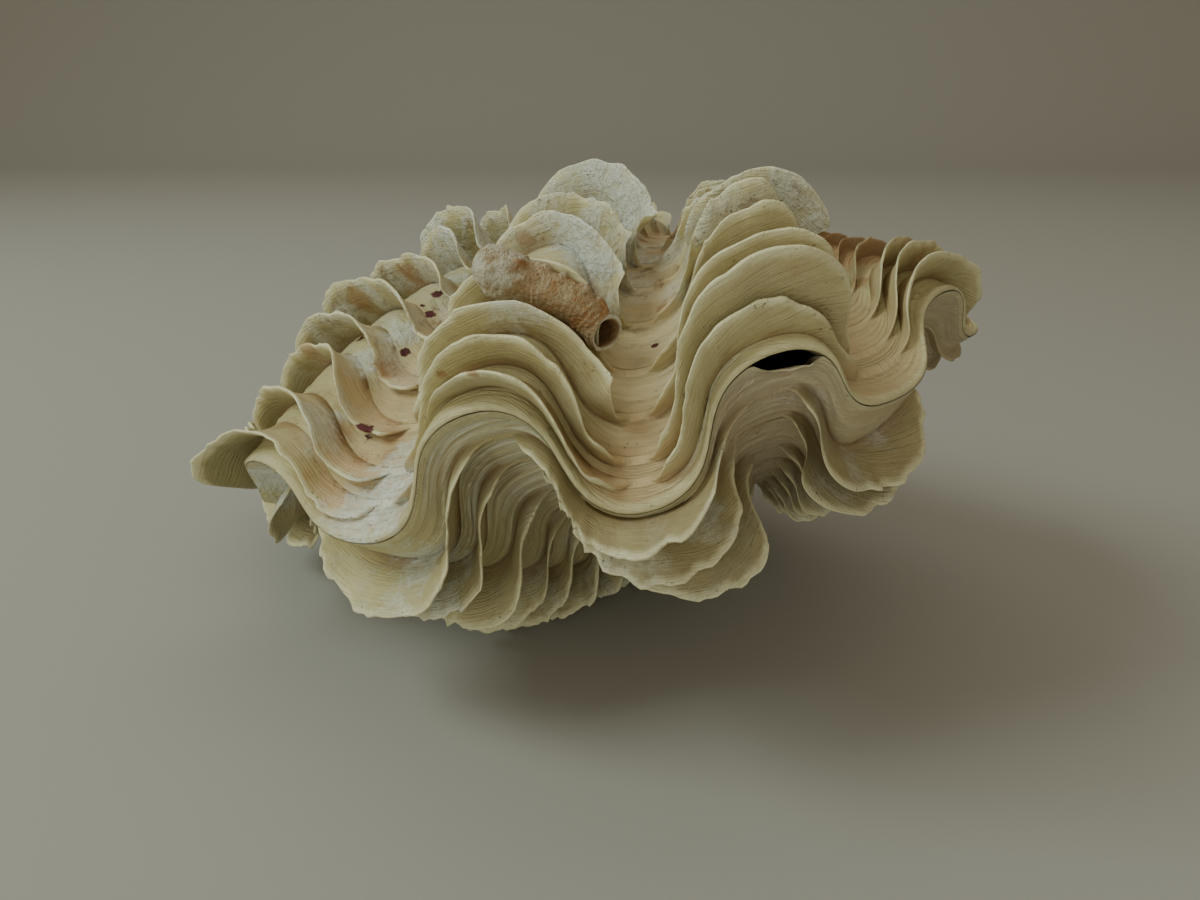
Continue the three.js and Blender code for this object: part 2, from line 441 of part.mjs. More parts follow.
for (let i = 0; i <= 8; i++) {
  const x = i / 8 * (TUBE_PATH.length - 1);
  const [u, h, g] = [0, 1, 2].map((n) => spline(TUBE_PATH.map((_, k) => k), TUBE_PATH.map((p) => p[n]))(x));
  const f = face(g, u, 1), N = unit([0, 1, 2].map((n) => f.N[n] * 0.5 + f.F[n] * 0.5));
  axis.push({ c: add(f.P, N, h), T: f.T, N });
}
const dot = (a, b) => a[0] * b[0] + a[1] * b[1] + a[2] * b[2];
const courses = axis.map((_, i) => unit(add(axis[Math.min(i + 1, 8)].c, axis[Math.max(i - 1, 0)].c, -1)));
axis.forEach((ring, i) => {          // rings stand square to the tube's course
  const d = courses[i], T = unit(add(ring.T, d, -dot(ring.T, d)));
  const N = unit(cross(d, T)), up = dot(N, ring.N) < 0 ? -1 : 1;
  ring.T = T; ring.N = N.map((q) => q * up);
});
const outward = unit(add(axis[8].c, axis[7].c, -1));
const boreAxis = [-TUBE_BORE[2], 3].map((d) => ({ c: add(axis[8].c, outward, d), T: axis[8].T, N: axis[8].N }));
let tubeBody = toSolid(toGeometry(tubeSolid(TUBE_HALF, axis, 7, (i, n) => [0.7, 1.25, 1.3, 1.2, 1.1][i] || 1)));
tubeBody = tubeBody.subtract(toSolid(toGeometry(tubeSolid(TUBE_BORE, boreAxis, 6, () => 1))));
for (const d of [[1, 0, 0], [-1, 0, 0], [0, 1, 0], [0, -1, 0], [0, 0, 1], [0, 0, -1]]) tubeBody = tubeBody.subtract(upperSolid.translate(d.map((q) => q * TUBE_GAP)));
tubeBody = tubeBody.decompose().sort((a, b) => b.volume() - a.volume())[0];
const tube = new THREE.Mesh(fromSolid(tubeBody), stone(0xb08a5c)); tube.name = 'worm_tube';
shell.add(tube);

export default shell;
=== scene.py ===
# Fluted giant clam shell, closed, lying on its lower valve.
# Metres in the scene; the shell is worked out in millimetres in its own growth frame
# (umbo at the origin, hinge along X, mouth towards -Y) and then laid down.
import bpy
import math
import numpy as np
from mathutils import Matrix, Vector


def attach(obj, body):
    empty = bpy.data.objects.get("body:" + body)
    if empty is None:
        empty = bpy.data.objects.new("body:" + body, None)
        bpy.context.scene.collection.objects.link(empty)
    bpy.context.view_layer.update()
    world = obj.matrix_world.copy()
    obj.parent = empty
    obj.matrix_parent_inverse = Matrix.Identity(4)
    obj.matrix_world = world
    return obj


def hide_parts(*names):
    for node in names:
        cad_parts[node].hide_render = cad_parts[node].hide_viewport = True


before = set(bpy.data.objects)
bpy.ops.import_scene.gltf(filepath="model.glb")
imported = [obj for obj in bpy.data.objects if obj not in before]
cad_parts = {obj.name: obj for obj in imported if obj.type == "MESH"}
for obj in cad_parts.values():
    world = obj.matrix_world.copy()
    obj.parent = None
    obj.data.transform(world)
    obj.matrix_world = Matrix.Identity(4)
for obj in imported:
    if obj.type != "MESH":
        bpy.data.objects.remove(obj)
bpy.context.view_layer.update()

# ---- driving dimensions ------------------------------------------------------------
# Mouth line: angle about the umbo (deg), distance from the umbo, height of the fold.
MOUTH = (
    (-80, 159, 0), (-51, 191.4, 12), (-36.3, 195.4, -8.2), (-22.6, 206.2, 10.2),
    (-7.2, 206, -17.2), (6, 206.5, 15.2), (16.2, 201.3, -18.4), (28.4, 205.8, 15.6),
    (35.6, 194.5, -3.6), (49.7, 166.8, 20.3), (61, 146, 3), (75, 126, 10), (83, 108, 0),
)
ROUND = 0.55
CURL = {1: 1.042, -1: 0.714}
LIE = (-24.26, -16.57, -8.32)
PLACE = np.array([43.6 + 5.2, 418.2 - 333.95, 57.4])
GAP = 0.12
LIP = 0.965
WALL_EXTRA = 9.0
SCALE_BASE = 1.9
FIRST = 0.07
LIP_OUT = 1.5                      # how far the upper lip stands out over the lower valve
CAVITY_END = 0.2
COLS = (13, 24, 28, 36, 36, 38, 38, 38, 34, 22, 10, 7)     # columns between extremes
KNOTS = np.array([0.08, 0.29, 0.5, 0.71, 0.92])
# Scales, from the mouth to the umbo: growth stage, lean from the surface (deg),
# share of sideways flare, then the height at five places across the rib.
SCALES_UPPER = (
    {"crest": 1, "rows": (
        (0.965, 76, 0.35, 7.5, 7.8, 9.0, 9.7, 9.5),
        (0.925, 72, 0.35, 7.6, 8.2, 9.9, 10.8, 8.4),
        (0.88, 73, 0.35, 7.0, 10.5, 9.0, 7.0, 7.8),
        (0.81, 74, 0.35, 7.0, 7.9, 7.7, 9.0, 7.5),
        (0.735, 75, 0.35, 7.6, 8.8, 6.4, 7.8, 6.4),
        (0.665, 75, 0.35, 5.8, 7.7, 7.6, 7.4, 6.0),
        (0.605, 78, 0.35, 5.7, 6.1, 7.5, 6.3, 7.5),
        (0.55, 70, 0.35, 4.8, 7.2, 6.1, 7.0, 6.4),
        (0.49, 73, 0.35, 5.9, 6.5, 7.5, 5.7, 6.6),
        (0.43, 78, 0.35, 5.5, 5.7, 7.5, 6.8, 7.4),
        (0.365, 75, 0.35, 6.0, 6.6, 5.6, 6.0, 6.3),
        (0.305, 77, 0.35, 5.2, 5.7, 6.1, 5.4, 5.0),
    )},
    {"crest": 3, "rows": (
        (0.951, 42, 0.34, 38.7, 27.2, 14.5, 11.0, 14.0),
        (0.906, 67, 0.34, 26.0, 15.5, 11.5, 12.0, 14.0),
        (0.839, 68, 0.28, 23.4, 16.6, 11.0, 13.0, 15.0),
        (0.786, 60, 0.4, 28.2, 22.2, 16.1, 13.0, 14.0),
        (0.735, 68, 0.68, 22.6, 24.5, 18.6, 14.4, 14.5),
        (0.67, 74, 0.51, 16.7, 21.7, 16.0, 11.4, 12.3),
        (0.614, 73, 0.3, 16.7, 12.5, 16.1, 17.9, 17.4),
        (0.561, 67, 0.28, 28.1, 29.2, 25.1, 24.7, 33.0),
        (0.507, 73, 0.25, 20.4, 17.5, 16.9, 21.2, 23.5),
        (0.445, 75, 0.35, 7.1, 10.0, 8.0, 9.0, 8.4),
        (0.378, 75, 0.35, 7.9, 10.2, 8.2, 7.5, 6.2),
        (0.316, 74, 0.35, 7.2, 8.6, 7.8, 7.8, 6.8),
    )},
    {"crest": 5, "rows": (
        (0.964, 54, 0.3, 8.4, 1.2, 12.8, 18.0, 21.9),
        (0.936, 74, 0.48, 9.8, 6.5, 11.9, 12.5, 16.6),
        (0.894, 79, 0.91, 16.2, 10.8, 12.0, 11.8, 31.7),
        (0.819, 75, 0.84, 12.5, 10.6, 10.3, 11.5, 5.0),
        (0.724, 82, 0.85, 13.8, 9.5, 10.3, 13.5, 25.9),
        (0.649, 80, 0.7, 16.1, 12.6, 9.6, 12.4, 30.9),
        (0.585, 75, 0.93, 12.9, 12.3, 17.2, 19.2, 32.3),
        (0.532, 77, 0.35, 5.1, 5.4, 6.2, 6.9, 5.3),
        (0.474, 73, 0.35, 6.5, 5.0, 6.1, 5.7, 4.6),
        (0.416, 77, 0.35, 5.0, 5.9, 5.2, 5.6, 5.5),
        (0.353, 76, 0.35, 5.3, 5.6, 5.6, 6.5, 5.1),
        (0.295, 81, 0.35, 4.9, 4.5, 4.8, 5.5, 4.9),
    )},
    {"crest": 7, "rows": (
        (0.972, 77, 0.28, 15.8, 15.0, 11.6, 6.0, 12.6),
        (0.951, 80, 0.33, 18.8, 18.7, 22.7, 19.9, 18.6),
        (0.89, 77, 0.35, 14.6, 12.8, 16.5, 18.3, 14.9),
        (0.847, 76, 0.0, 10.6, 13.0, 18.6, 20.2, 17.1),
        (0.791, 77, 0.0, 6.4, 9.9, 19.0, 17.8, 14.9),
        (0.724, 71, 0.95, 4.5, 1.5, 16.9, 22.2, 30.9),
        (0.658, 79, 0.35, 5.9, 6.5, 6.5, 6.0, 6.2),
        (0.599, 74, 0.35, 6.3, 5.8, 5.6, 6.6, 5.3),
        (0.533, 80, 0.35, 4.4, 7.6, 6.8, 5.4, 6.1),
        (0.468, 75, 0.35, 3.8, 5.5, 5.6, 6.3, 5.2),
        (0.397, 84, 0.35, 4.9, 6.7, 6.9, 5.2, 4.4),
        (0.332, 77, 0.35, 4.1, 4.8, 5.2, 5.5, 5.3),
    )},
    {"crest": 9, "rows": (
        (0.936, 53, 0.7, 11.9, 12.1, 11.3, 15, 22),
        (0.899, 68, 0.2, 13, 12.5, 12, 11, 9),
        (0.867, 64, 0.2, 11, 11, 10, 9, 8),
        (0.802, 72, 0.2, 6, 6.5, 6, 5, 4),
        (0.753, 72, 0.2, 4, 4.5, 4.5, 4, 3),
        (0.703, 72, 0.2, 3.5, 4, 4, 3.5, 3),
        (0.64, 75, 0.35, 4.3, 3.7, 4.5, 4.6, 3.4),
        (0.582, 76, 0.35, 4.4, 4.8, 4.4, 4.2, 4.1),
        (0.518, 75, 0.35, 3.4, 3.4, 3.8, 3.8, 4.6),
        (0.455, 76, 0.35, 3.7, 4.2, 3.5, 4.1, 2.4),
        (0.386, 73, 0.35, 3.4, 2.4, 2.9, 3.8, 3.0),
        (0.323, 74, 0.35, 2.8, 3.0, 3.5, 3.4, 2.8),
    )},
    {"crest": 11, "rows": (
        (0.965, 79, 0.35, 6.2, 6.9, 6.9, 7.4, 6.7),
        (0.925, 77, 0.35, 7.0, 8.2, 7.7, 6.8, 6.3),
        (0.88, 80, 0.35, 5.9, 7.3, 7.8, 6.2, 4.9),
        (0.81, 76, 0.35, 5.9, 7.1, 5.5, 7.9, 6.4),
        (0.735, 80, 0.35, 5.4, 6.3, 6.1, 6.0, 4.9),
        (0.665, 75, 0.35, 5.3, 6.0, 6.0, 4.3, 5.7),
        (0.605, 73, 0.35, 4.9, 5.7, 5.0, 6.3, 4.7),
        (0.55, 79, 0.35, 4.4, 5.6, 5.9, 5.1, 4.0),
        (0.49, 77, 0.35, 4.1, 6.0, 5.2, 4.8, 4.3),
        (0.43, 73, 0.35, 4.9, 4.8, 5.5, 6.2, 4.3),
        (0.365, 78, 0.35, 3.7, 3.9, 4.3, 4.3, 3.5),
        (0.305, 77, 0.35, 2.7, 3.7, 5.5, 5.0, 4.2),
    )},
)
SCALES_LOWER = (
    {"crest": 0, "rows": (
        (0.93, 70, 0.35, 4.3, 5.9, 4.8, 5.5, 4.9),
        (0.87, 65, 0.35, 4.6, 3.9, 4.5, 4.5, 3.4),
        (0.8, 63, 0.35, 3.4, 3.6, 4.6, 4.5, 3.7),
        (0.742, 67, 0.35, 3.7, 4.1, 4.1, 4.3, 3.7),
        (0.68, 65, 0.35, 4.0, 4.4, 3.9, 3.9, 4.0),
        (0.61, 70, 0.35, 3.6, 2.8, 2.7, 4.2, 3.8),
        (0.545, 64, 0.35, 3.8, 4.0, 3.9, 3.2, 3.8),
        (0.48, 65, 0.35, 3.5, 3.8, 3.8, 4.1, 3.1),
        (0.42, 68, 0.35, 2.9, 3.4, 4.3, 3.4, 3.6),
        (0.36, 64, 0.35, 3.3, 3.7, 3.0, 3.6, 3.6),
        (0.305, 65, 0.35, 2.9, 3.0, 3.4, 2.8, 3.5),
        (0.25, 65, 0.35, 2.3, 3.8, 3.5, 3.3, 3.0),
    )},
    {"crest": 2, "rows": (
        (0.934, 63, 0.3, 27.5, 19.6, 10.9, 18.6, 16.7),
        (0.881, 58, 0.35, 28.7, 26.5, 17.4, 13.6, 14.2),
        (0.81, 70, 0.35, 11.9, 15.4, 15.9, 13.0, 11.5),
        (0.751, 67, 0.35, 12.8, 14.2, 11.1, 12.5, 11.1),
        (0.688, 66, 0.35, 9.1, 14.6, 13.1, 13.3, 9.8),
        (0.617, 68, 0.35, 16.3, 13.4, 16.2, 16.7, 13.6),
        (0.552, 68, 0.35, 11.4, 14.7, 13.7, 13.3, 14.3),
        (0.486, 66, 0.35, 11.6, 9.6, 10.3, 12.3, 11.1),
        (0.425, 65, 0.35, 12.5, 11.3, 13.0, 11.2, 12.0),
        (0.364, 69, 0.35, 10.0, 11.8, 14.0, 10.5, 10.0),
        (0.309, 71, 0.35, 8.4, 11.9, 10.1, 9.9, 9.2),
        (0.253, 70, 0.35, 9.1, 10.0, 9.7, 7.6, 7.6),
    )},
    {"crest": 4, "rows": (
        (0.913, 64, 0.35, 13.7, 18.6, 21.7, 19.7, 14.8),
        (0.868, 68, 0.37, 18.4, 18.4, 19.3, 19.7, 18.9),
        (0.808, 69, 0.32, 17.2, 18.4, 20.4, 24.2, 17.3),
        (0.732, 86, 0, 24.1, 27.5, 19, 12.1, 8.1),
        (0.68, 84, 0, 23.7, 27.2, 19.3, 11.8, 11.1),
        (0.616, 69, 0.2, 20.1, 24.7, 20.5, 15.9, 14.4),
        (0.556, 68, 0.35, 13.2, 12.8, 13.6, 14.8, 12.1),
        (0.489, 68, 0.35, 11.2, 12.5, 14.0, 9.5, 8.3),
        (0.428, 68, 0.35, 10.1, 13.2, 11.2, 11.3, 7.5),
        (0.367, 57, 0.35, 13.6, 12.3, 12.6, 13.7, 13.1),
        (0.311, 63, 0.35, 12.3, 13.7, 13.1, 13.8, 12.8),
        (0.255, 62, 0.35, 10.7, 11.0, 10.0, 11.6, 12.0),
    )},
    {"crest": 6, "rows": (
        (0.982, 54, 0.0, 15.1, 14.9, 15.8, 12.5, 5.0),
        (0.909, 66, 0.49, 16.2, 13.3, 18.2, 12.7, 1.2),
        (0.785, 66, 0.45, 14.8, 13.6, 18.7, 23.8, 11.2),
        (0.728, 63, 0.35, 13.1, 12.4, 16.7, 16.9, 11.3),
        (0.667, 69, 0.35, 13.0, 15.8, 16.3, 18.0, 16.6),
        (0.598, 66, 0.35, 15.9, 13.1, 14.2, 17.3, 14.1),
        (0.535, 65, 0.35, 10.0, 11.3, 15.9, 15.2, 12.7),
        (0.471, 65, 0.35, 13.0, 17.6, 18.7, 19.7, 15.6),
        (0.412, 66, 0.35, 19.1, 24.0, 24.8, 21.0, 21.1),
        (0.353, 63, 0.35, 13.8, 12.0, 15.3, 16.8, 12.6),
        (0.299, 64, 0.35, 6.7, 14.2, 13.1, 12.4, 10.7),
        (0.245, 71, 0.35, 10.5, 11.4, 11.5, 11.8, 10.8),
    )},
    {"crest": 8, "rows": (
        (0.87, 66, 0.44, 17.3, 17.1, 19.0, 12.4, 5.1),
        (0.818, 67, 0.63, 22.3, 22.3, 21.4, 13.0, 14.7),
        (0.752, 66, 0.35, 11.8, 13.5, 15.7, 12.9, 13.4),
        (0.698, 66, 0.35, 14.2, 16.2, 12.9, 16.0, 12.8),
        (0.64, 65, 0.35, 12.2, 15.2, 11.9, 14.4, 14.3),
        (0.574, 63, 0.35, 15.0, 12.2, 13.7, 12.6, 11.1),
        (0.513, 61, 0.35, 10.8, 12.8, 11.6, 14.2, 13.7),
        (0.451, 67, 0.35, 12.2, 12.6, 12.7, 16.0, 12.7),
        (0.395, 66, 0.35, 10.9, 8.8, 13.0, 10.8, 10.9),
        (0.339, 67, 0.35, 11.4, 14.2, 12.7, 13.1, 10.0),
        (0.287, 71, 0.35, 10.8, 9.0, 13.6, 10.0, 8.3),
        (0.235, 60, 0.35, 11.9, 9.6, 9.7, 14.4, 9.6),
    )},
    {"crest": 10, "rows": (
        (0.93, 71, 0.35, 3.6, 3.3, 4.4, 3.6, 3.7),
        (0.87, 62, 0.35, 3.8, 4.0, 4.1, 4.4, 4.0),
        (0.8, 60, 0.35, 3.6, 4.7, 4.2, 3.5, 3.2),
        (0.742, 66, 0.35, 3.0, 4.5, 3.7, 3.4, 3.1),
        (0.68, 64, 0.35, 3.2, 3.5, 3.3, 3.9, 3.8),
        (0.61, 67, 0.35, 2.9, 4.0, 2.8, 3.2, 3.0),
        (0.545, 60, 0.35, 2.9, 3.0, 3.4, 2.8, 2.3),
        (0.48, 65, 0.35, 3.1, 2.5, 3.3, 3.4, 3.1),
        (0.42, 63, 0.35, 2.6, 3.1, 2.8, 2.6, 3.2),
        (0.36, 62, 0.35, 3.2, 3.1, 2.8, 3.1, 3.0),
        (0.305, 64, 0.35, 2.2, 2.4, 2.9, 2.9, 2.5),
        (0.25, 68, 0.35, 2.2, 3.1, 3.0, 2.7, 2.0),
    )},
    {"crest": 12, "rows": (
        (0.93, 67, 0.35, 4.0, 4.0, 4.3, 3.8, 3.1),
        (0.87, 67, 0.35, 4.0, 3.9, 3.3, 3.6, 3.2),
        (0.8, 66, 0.35, 3.7, 4.5, 3.7, 3.5, 3.3),
        (0.742, 65, 0.35, 3.0, 3.5, 3.5, 3.0, 3.4),
        (0.68, 67, 0.35, 2.7, 3.6, 3.2, 4.1, 3.2),
        (0.61, 60, 0.35, 2.7, 3.1, 3.6, 3.0, 3.2),
        (0.545, 64, 0.35, 2.9, 3.4, 3.2, 3.1, 3.1),
        (0.48, 67, 0.35, 2.4, 3.0, 3.4, 3.1, 2.6),
        (0.42, 64, 0.35, 2.7, 2.4, 1.9, 2.5, 2.1),
        (0.36, 71, 0.35, 2.1, 2.5, 2.9, 2.8, 2.5),
        (0.305, 70, 0.35, 2.2, 2.5, 3.0, 2.3, 1.9),
        (0.25, 66, 0.35, 2.4, 2.7, 2.7, 2.8, 2.1),
    )},
)
LAST = len(MOUTH) - 1


# ---- noise -------------------------------------------------------------------------
def table1(seed):
    return np.random.RandomState(seed).uniform(-1, 1, 1024)


def noise1(x, seed=0):
    t = table1(seed)
    i = np.floor(x).astype(int)
    f = x - i
    s = f * f * (3 - 2 * f)
    return t[i % 1024] * (1 - s) + t[(i + 1) % 1024] * s


def fbm1(x, seed=0, octaves=3):
    a, total = 1.0, 0.0
    out = np.zeros_like(x, dtype=float)
    for o in range(octaves):
        out += a * noise1(x * 2 ** o, seed + o)
        total += a
        a *= 0.5
    return out / total


def noise2(x, y, seed=0):
    t = np.random.RandomState(seed).uniform(-1, 1, (256, 256))
    i, j = np.floor(x).astype(int), np.floor(y).astype(int)
    f, h = x - i, y - j
    s, r = f * f * (3 - 2 * f), h * h * (3 - 2 * h)
    i0, i1, j0, j1 = i % 256, (i + 1) % 256, j % 256, (j + 1) % 256
    return (t[i0, j0] * (1 - s) + t[i1, j0] * s) * (1 - r) + (t[i0, j1] * (1 - s) + t[i1, j1] * s) * r


def fbm2(x, y, seed=0, octaves=3):
    a, total = 1.0, 0.0
    out = 0.0
    for o in range(octaves):
        out = out + a * noise2(x * 2 ** o, y * 2 ** o, seed + o)
        total += a
        a *= 0.5
    return out / total


def smooth(a, b, x):
    t = np.clip((np.asarray(x, float) - a) / (b - a), 0, 1)
    return t * t * (3 - 2 * t)


# ---- growth surface ----------------------------------------------------------------
def spline(xs, ys):
    """Natural cubic through the points, extended past its ends."""
    n = len(xs)
    m, c, d = np.zeros(n), np.zeros(n), np.zeros(n)
    for i in range(1, n - 1):
        h0, h1 = xs[i] - xs[i - 1], xs[i + 1] - xs[i]
        w = 2 * (h0 + h1) - h0 * c[i - 1]
        c[i] = h1 / w
        d[i] = (6 * ((ys[i + 1] - ys[i]) / h1 - (ys[i] - ys[i - 1]) / h0) - h0 * d[i - 1]) / w
    for i in range(n - 2, 0, -1):
        m[i] = d[i] - c[i] * m[i + 1]
    xs, ys = np.asarray(xs, float), np.asarray(ys, float)

    def at(x):
        x = np.asarray(x, float)
        i = np.clip(np.searchsorted(xs, x, side="left") - 1, 0, n - 2)
        h = xs[i + 1] - xs[i]
        a, b = (xs[i + 1] - x) / h, (x - xs[i]) / h
        return a * ys[i] + b * ys[i + 1] + ((a ** 3 - a) * m[i] + (b ** 3 - b) * m[i + 1]) * h * h / 6
    return at


MOUTH_A = np.array(MOUTH, float)
mouth_radius = spline(np.arange(LAST + 1), MOUTH_A[:, 1])


def mouth(u):
    u = np.clip(np.asarray(u, float), 0, LAST)
    k = np.minimum(u.astype(int), LAST - 1)
    t = u - k
    phi = np.radians(MOUTH_A[k, 0] + (MOUTH_A[k + 1, 0] - MOUTH_A[k, 0]) * (t + ROUND * np.sin(2 * np.pi * t) / (2 * np.pi)))
    z = MOUTH_A[k, 2] + (MOUTH_A[k + 1, 2] - MOUTH_A[k, 2]) * (1 - np.cos(np.pi * t)) / 2
    return phi, z, mouth_radius(u)


def turn(v, b):
    c, s = np.cos(b), np.sin(b)
    return np.stack([v[..., 0] + 0 * c, v[..., 1] * c + v[..., 2] * s, -v[..., 1] * s + v[..., 2] * c], -1)


def unit(v):
    return v / np.linalg.norm(v, axis=-1, keepdims=True)


def ring(u):
    phi, z, r = mouth(u)
    return np.stack([r * np.sin(phi), -r * np.cos(phi), z], -1)


def face(g, u, side):
    """A point of the outer face, its growth direction, mean and local outward normals, and growth rate."""
    g, u = np.broadcast_arrays(np.asarray(g, float), np.asarray(u, float))
    b = CURL[side] * np.log(1 / g) * side
    phi, z, r = mouth(u)
    v = np.stack([r * np.sin(phi), -r * np.cos(phi), z], -1)
    e = 1e-3
    dv = ring(u + e) - ring(u - e)
    rv = turn(v, b)
    c, s = np.cos(b), np.sin(b)
    dr = np.stack([0 * c, -v[..., 1] * s + v[..., 2] * c, -v[..., 1] * c - v[..., 2] * s], -1)
    grow = rv - CURL[side] * side * dr
    rate = np.linalg.norm(grow, axis=-1)
    T = unit(grow)
    across = turn(np.stack([r * np.cos(phi), r * np.sin(phi), 0 * r], -1), b)
    N = unit(-side * np.cross(across, T))
    F = unit(-side * np.cross(turn(dv, b), T))
    return rv * g[..., None], T, N, F, rate


U = [0.0]
for k, n in enumerate(COLS):
    U += [k + i / n for i in range(1, n + 1)]
U = np.array(U)
STEP = np.linalg.norm(np.diff(ring(U), axis=0), axis=1)
ARC = np.concatenate([[0], np.cumsum(STEP)])          # mm along the mouth line


# ---- one valve ---------------------------------------------------------------------
def valve(side, table):
    ribs = len(table)
    first = table[0]["crest"]
    rib = np.clip(np.floor((U - first) / 2 + 0.5).astype(int), 0, ribs - 1)
    crest = np.array([t["crest"] for t in table], float)[rib]
    q = U - crest
    aq = np.minimum(np.abs(q), 1)
    blend = aq * aq * (3 - 2 * aq)
    envelope = np.maximum(1 - aq ** 2.6, 0) ** 0.8
    rows_n = len(table[0]["rows"])
    data = np.array([t["rows"] for t in table], float)          # rib, row, value

    def scale_at(j):
        row = data[rib, j]
        left = np.where(rib > 0, data[np.maximum(rib - 1, 0), j, 0], row[:, 0])
        right = np.where(rib < ribs - 1, data[np.minimum(rib + 1, ribs - 1), j, 0], row[:, 0])
        g = row[:, 0] + (np.where(q < 0, left, right) - row[:, 0]) / 2 * blend
        height = np.zeros(len(U))
        for i in range(ribs):
            on = rib == i
            height[on] = spline(KNOTS, data[i, j, 3:])((q[on] + 1) / 2)
        taper = smooth(1.0, 0.84, aq)
        long_end = (crest == 3) & (q > 0) if side > 0 else np.zeros(len(U), bool)      # those of the second rib run on into the valley
        if side > 0:                                   # the fourth rib's left flank is nearly bare
            taper = taper * np.where((crest == 9) & (q < 0), smooth(0.92, 0.35, aq), 1.0)
        ends = np.where(long_end, np.maximum(envelope, 0.50 * smooth(0.3, 0.5, aq)) * smooth(1.0, 0.88, aq), envelope * taper)
        lean = row[:, 1] * (1 - 0.62 * np.where(long_end, 0.8 * smooth(0.25, 0.8, aq), smooth(0.82, 0.99, aq)))    # the ends of the scales lie down in the valleys
        height = np.maximum(height, 0.8) * ends
        return g, lean, row[:, 2], height

    P_rows, attr = [], {k: [] for k in ("rim", "root", "leaf", "grow", "front", "age", "layer")}
    arch = np.zeros(len(U))
    if side < 0:
        for at, half, strength in ((2.6, 1.0, 1.0), (4.95, 0.75, 1.0), (7.0, 0.75, 0.50), (9.4, 0.75, 0.75)):
            arch = np.maximum(arch, strength * smooth(half, half * 0.55, np.abs(U - at)))
    else:                                              # thin upright layers on the third rib's left flank
        arch = 0.75 * smooth(0.48, 0.2, np.abs(U - 6.5))

    def push(P, rim=0.0, root=0.0, leaf=0.0, grow=0.0, front=0.0, age=0.0, layer=0.0):
        P = P + np.array([0, 0, GAP * side])
        P_rows.append(P)
        for name, value in (("rim", rim), ("root", root), ("leaf", leaf), ("grow", grow), ("front", front), ("age", age), ("layer", layer)):
            attr[name].append(np.broadcast_to(value, len(U)).astype(float))

    def bare(ga, gb, n, ridges, amp, seed, ends=(1.0, 1.0), skip_first=False):
        """Rows of growth lines between two stages: thin layers that overlap towards the mouth."""
        profile = [0.0, 0.45, 0.82, 1.0]
        ts, hs = [], []
        for r in range(ridges):
            for p, h in ((0.0, 0.0), (0.5, 0.62), (0.88, 1.0)):
                ts.append((r + p) / ridges)
                hs.append(h)
        ts.append(1.0)
        hs.append(0.0)
        for t, h in zip(ts, hs):
            if skip_first and t == 0:
                continue
            g = ga + (gb - ga) * t
            P, T, N, F, rate = face(g, U, side)
            lay = 0.65 + 0.6 * fbm1(ARC / 22 + 13.7 * round(t * ridges), seed, 2)
            wob = fbm2(ARC / 5.0, np.full_like(ARC, t * 9 + seed), seed + 40, 3)
            low = fbm2(ARC / 16.0, np.log(g) * 18, 700 + side, 3)
            young = smooth(0.72, 0.9, g) * arch
            here = amp * (1 + 3.0 * young)
            d = here * h * np.clip(lay, 0.1, 1.3) + 0.18 * wob * (1 + young) + 0.55 * low * smooth(1.0, 0.97, g)
            d = d - (1.1 if side < 0 else 0.0) * arch * smooth(0.80, 0.93, g) * smooth(1.0, 0.985, g)
            edge = math.sin(math.pi * t) ** 0.5 if 0 < t < 1 else 0.0
            fade = ends[0] * (1 - t) + ends[1] * t
            lip = 0.0
            if side > 0:
                lip = LIP_OUT * smooth(0.970, 0.992, g) * smooth(1.0012, 0.9965, g) * (0.75 + 0.5 * fbm1(ARC / 14, 51, 2))
            push(P + F * (d * max(edge, 0.25) * smooth(1.0, 0.985, g) + lip)[:, None] + T * (0.35 * here * h * lay + 0.5 * lip)[:, None],
                 rim=(0.45 + 0.35 * young) * h * np.clip(lay, 0, 1), root=(0.55 * (1 - edge) + (0.25 + 0.35 * young) * (1 - h)) * fade,
                 grow=g * rate, age=1 - g, layer=young)

    # beak
    for g in (FIRST, 0.09, 0.115):
        P, T, N, F, rate = face(g, U, side)
        push(P, grow=g * rate, age=1 - g)
    shapes = [scale_at(j) for j in range(rows_n)]
    feet = []
    for j in range(rows_n):
        g, alpha, beta, height = shapes[j]
        rate = face(g, U, side)[4]
        wide = SCALE_BASE * (0.75 + 0.25 * smooth(0, 8, height))
        feet.append([g - wide / rate, np.minimum(g + wide / rate, 0.996)])
    for j in range(rows_n - 1):                       # scales that stand close share their ground
        lower, upper = feet[j + 1][1], feet[j][0]
        mid = (lower + upper) / 2
        bad = lower > upper - 0.002
        feet[j + 1][1] = np.where(bad, mid - 0.001, lower)
        feet[j][0] = np.where(bad, mid + 0.001, upper)
    back_foot = feet[rows_n - 1][0]
    bare(np.full_like(U, 0.13), back_foot, 6, 2, 0.25, 3)
    for j in range(rows_n - 1, -1, -1):
        g, alpha, beta, height = shapes[j]
        P, T, N, F, rate = face(g, U, side)
        Nb = unit(N * (1 - beta)[:, None] + F * beta[:, None])
        a = np.radians(alpha)[:, None]
        D = np.cos(a) * T + np.sin(a) * Nb
        E = np.sin(a) * T - np.cos(a) * Nb
        seed = 100 + 17 * j + (0 if side > 0 else 500)
        worn = smooth(2, 7, j)                       # older scales are more broken
        reach = smooth(1.5, 9, height)
        stand = smooth(0.4, 3.2, height)[:, None]
        arc = ARC * g
        jag = ((0.9 + 1.2 * worn) * fbm1(arc / 8.0, seed, 2) + (1.0 + 1.3 * worn) * (0.35 - np.abs(noise1(arc / 5.2, seed + 9))) \
               + (0.55 + 0.8 * worn) * (0.3 - np.abs(noise1(arc / 2.3, seed + 21))) * smooth(-0.2, 0.5, noise1(arc / 11, seed + 22)) + 0.3 * noise1(arc / 1.1, seed + 5) * (0.4 + worn))
        if side > 0:
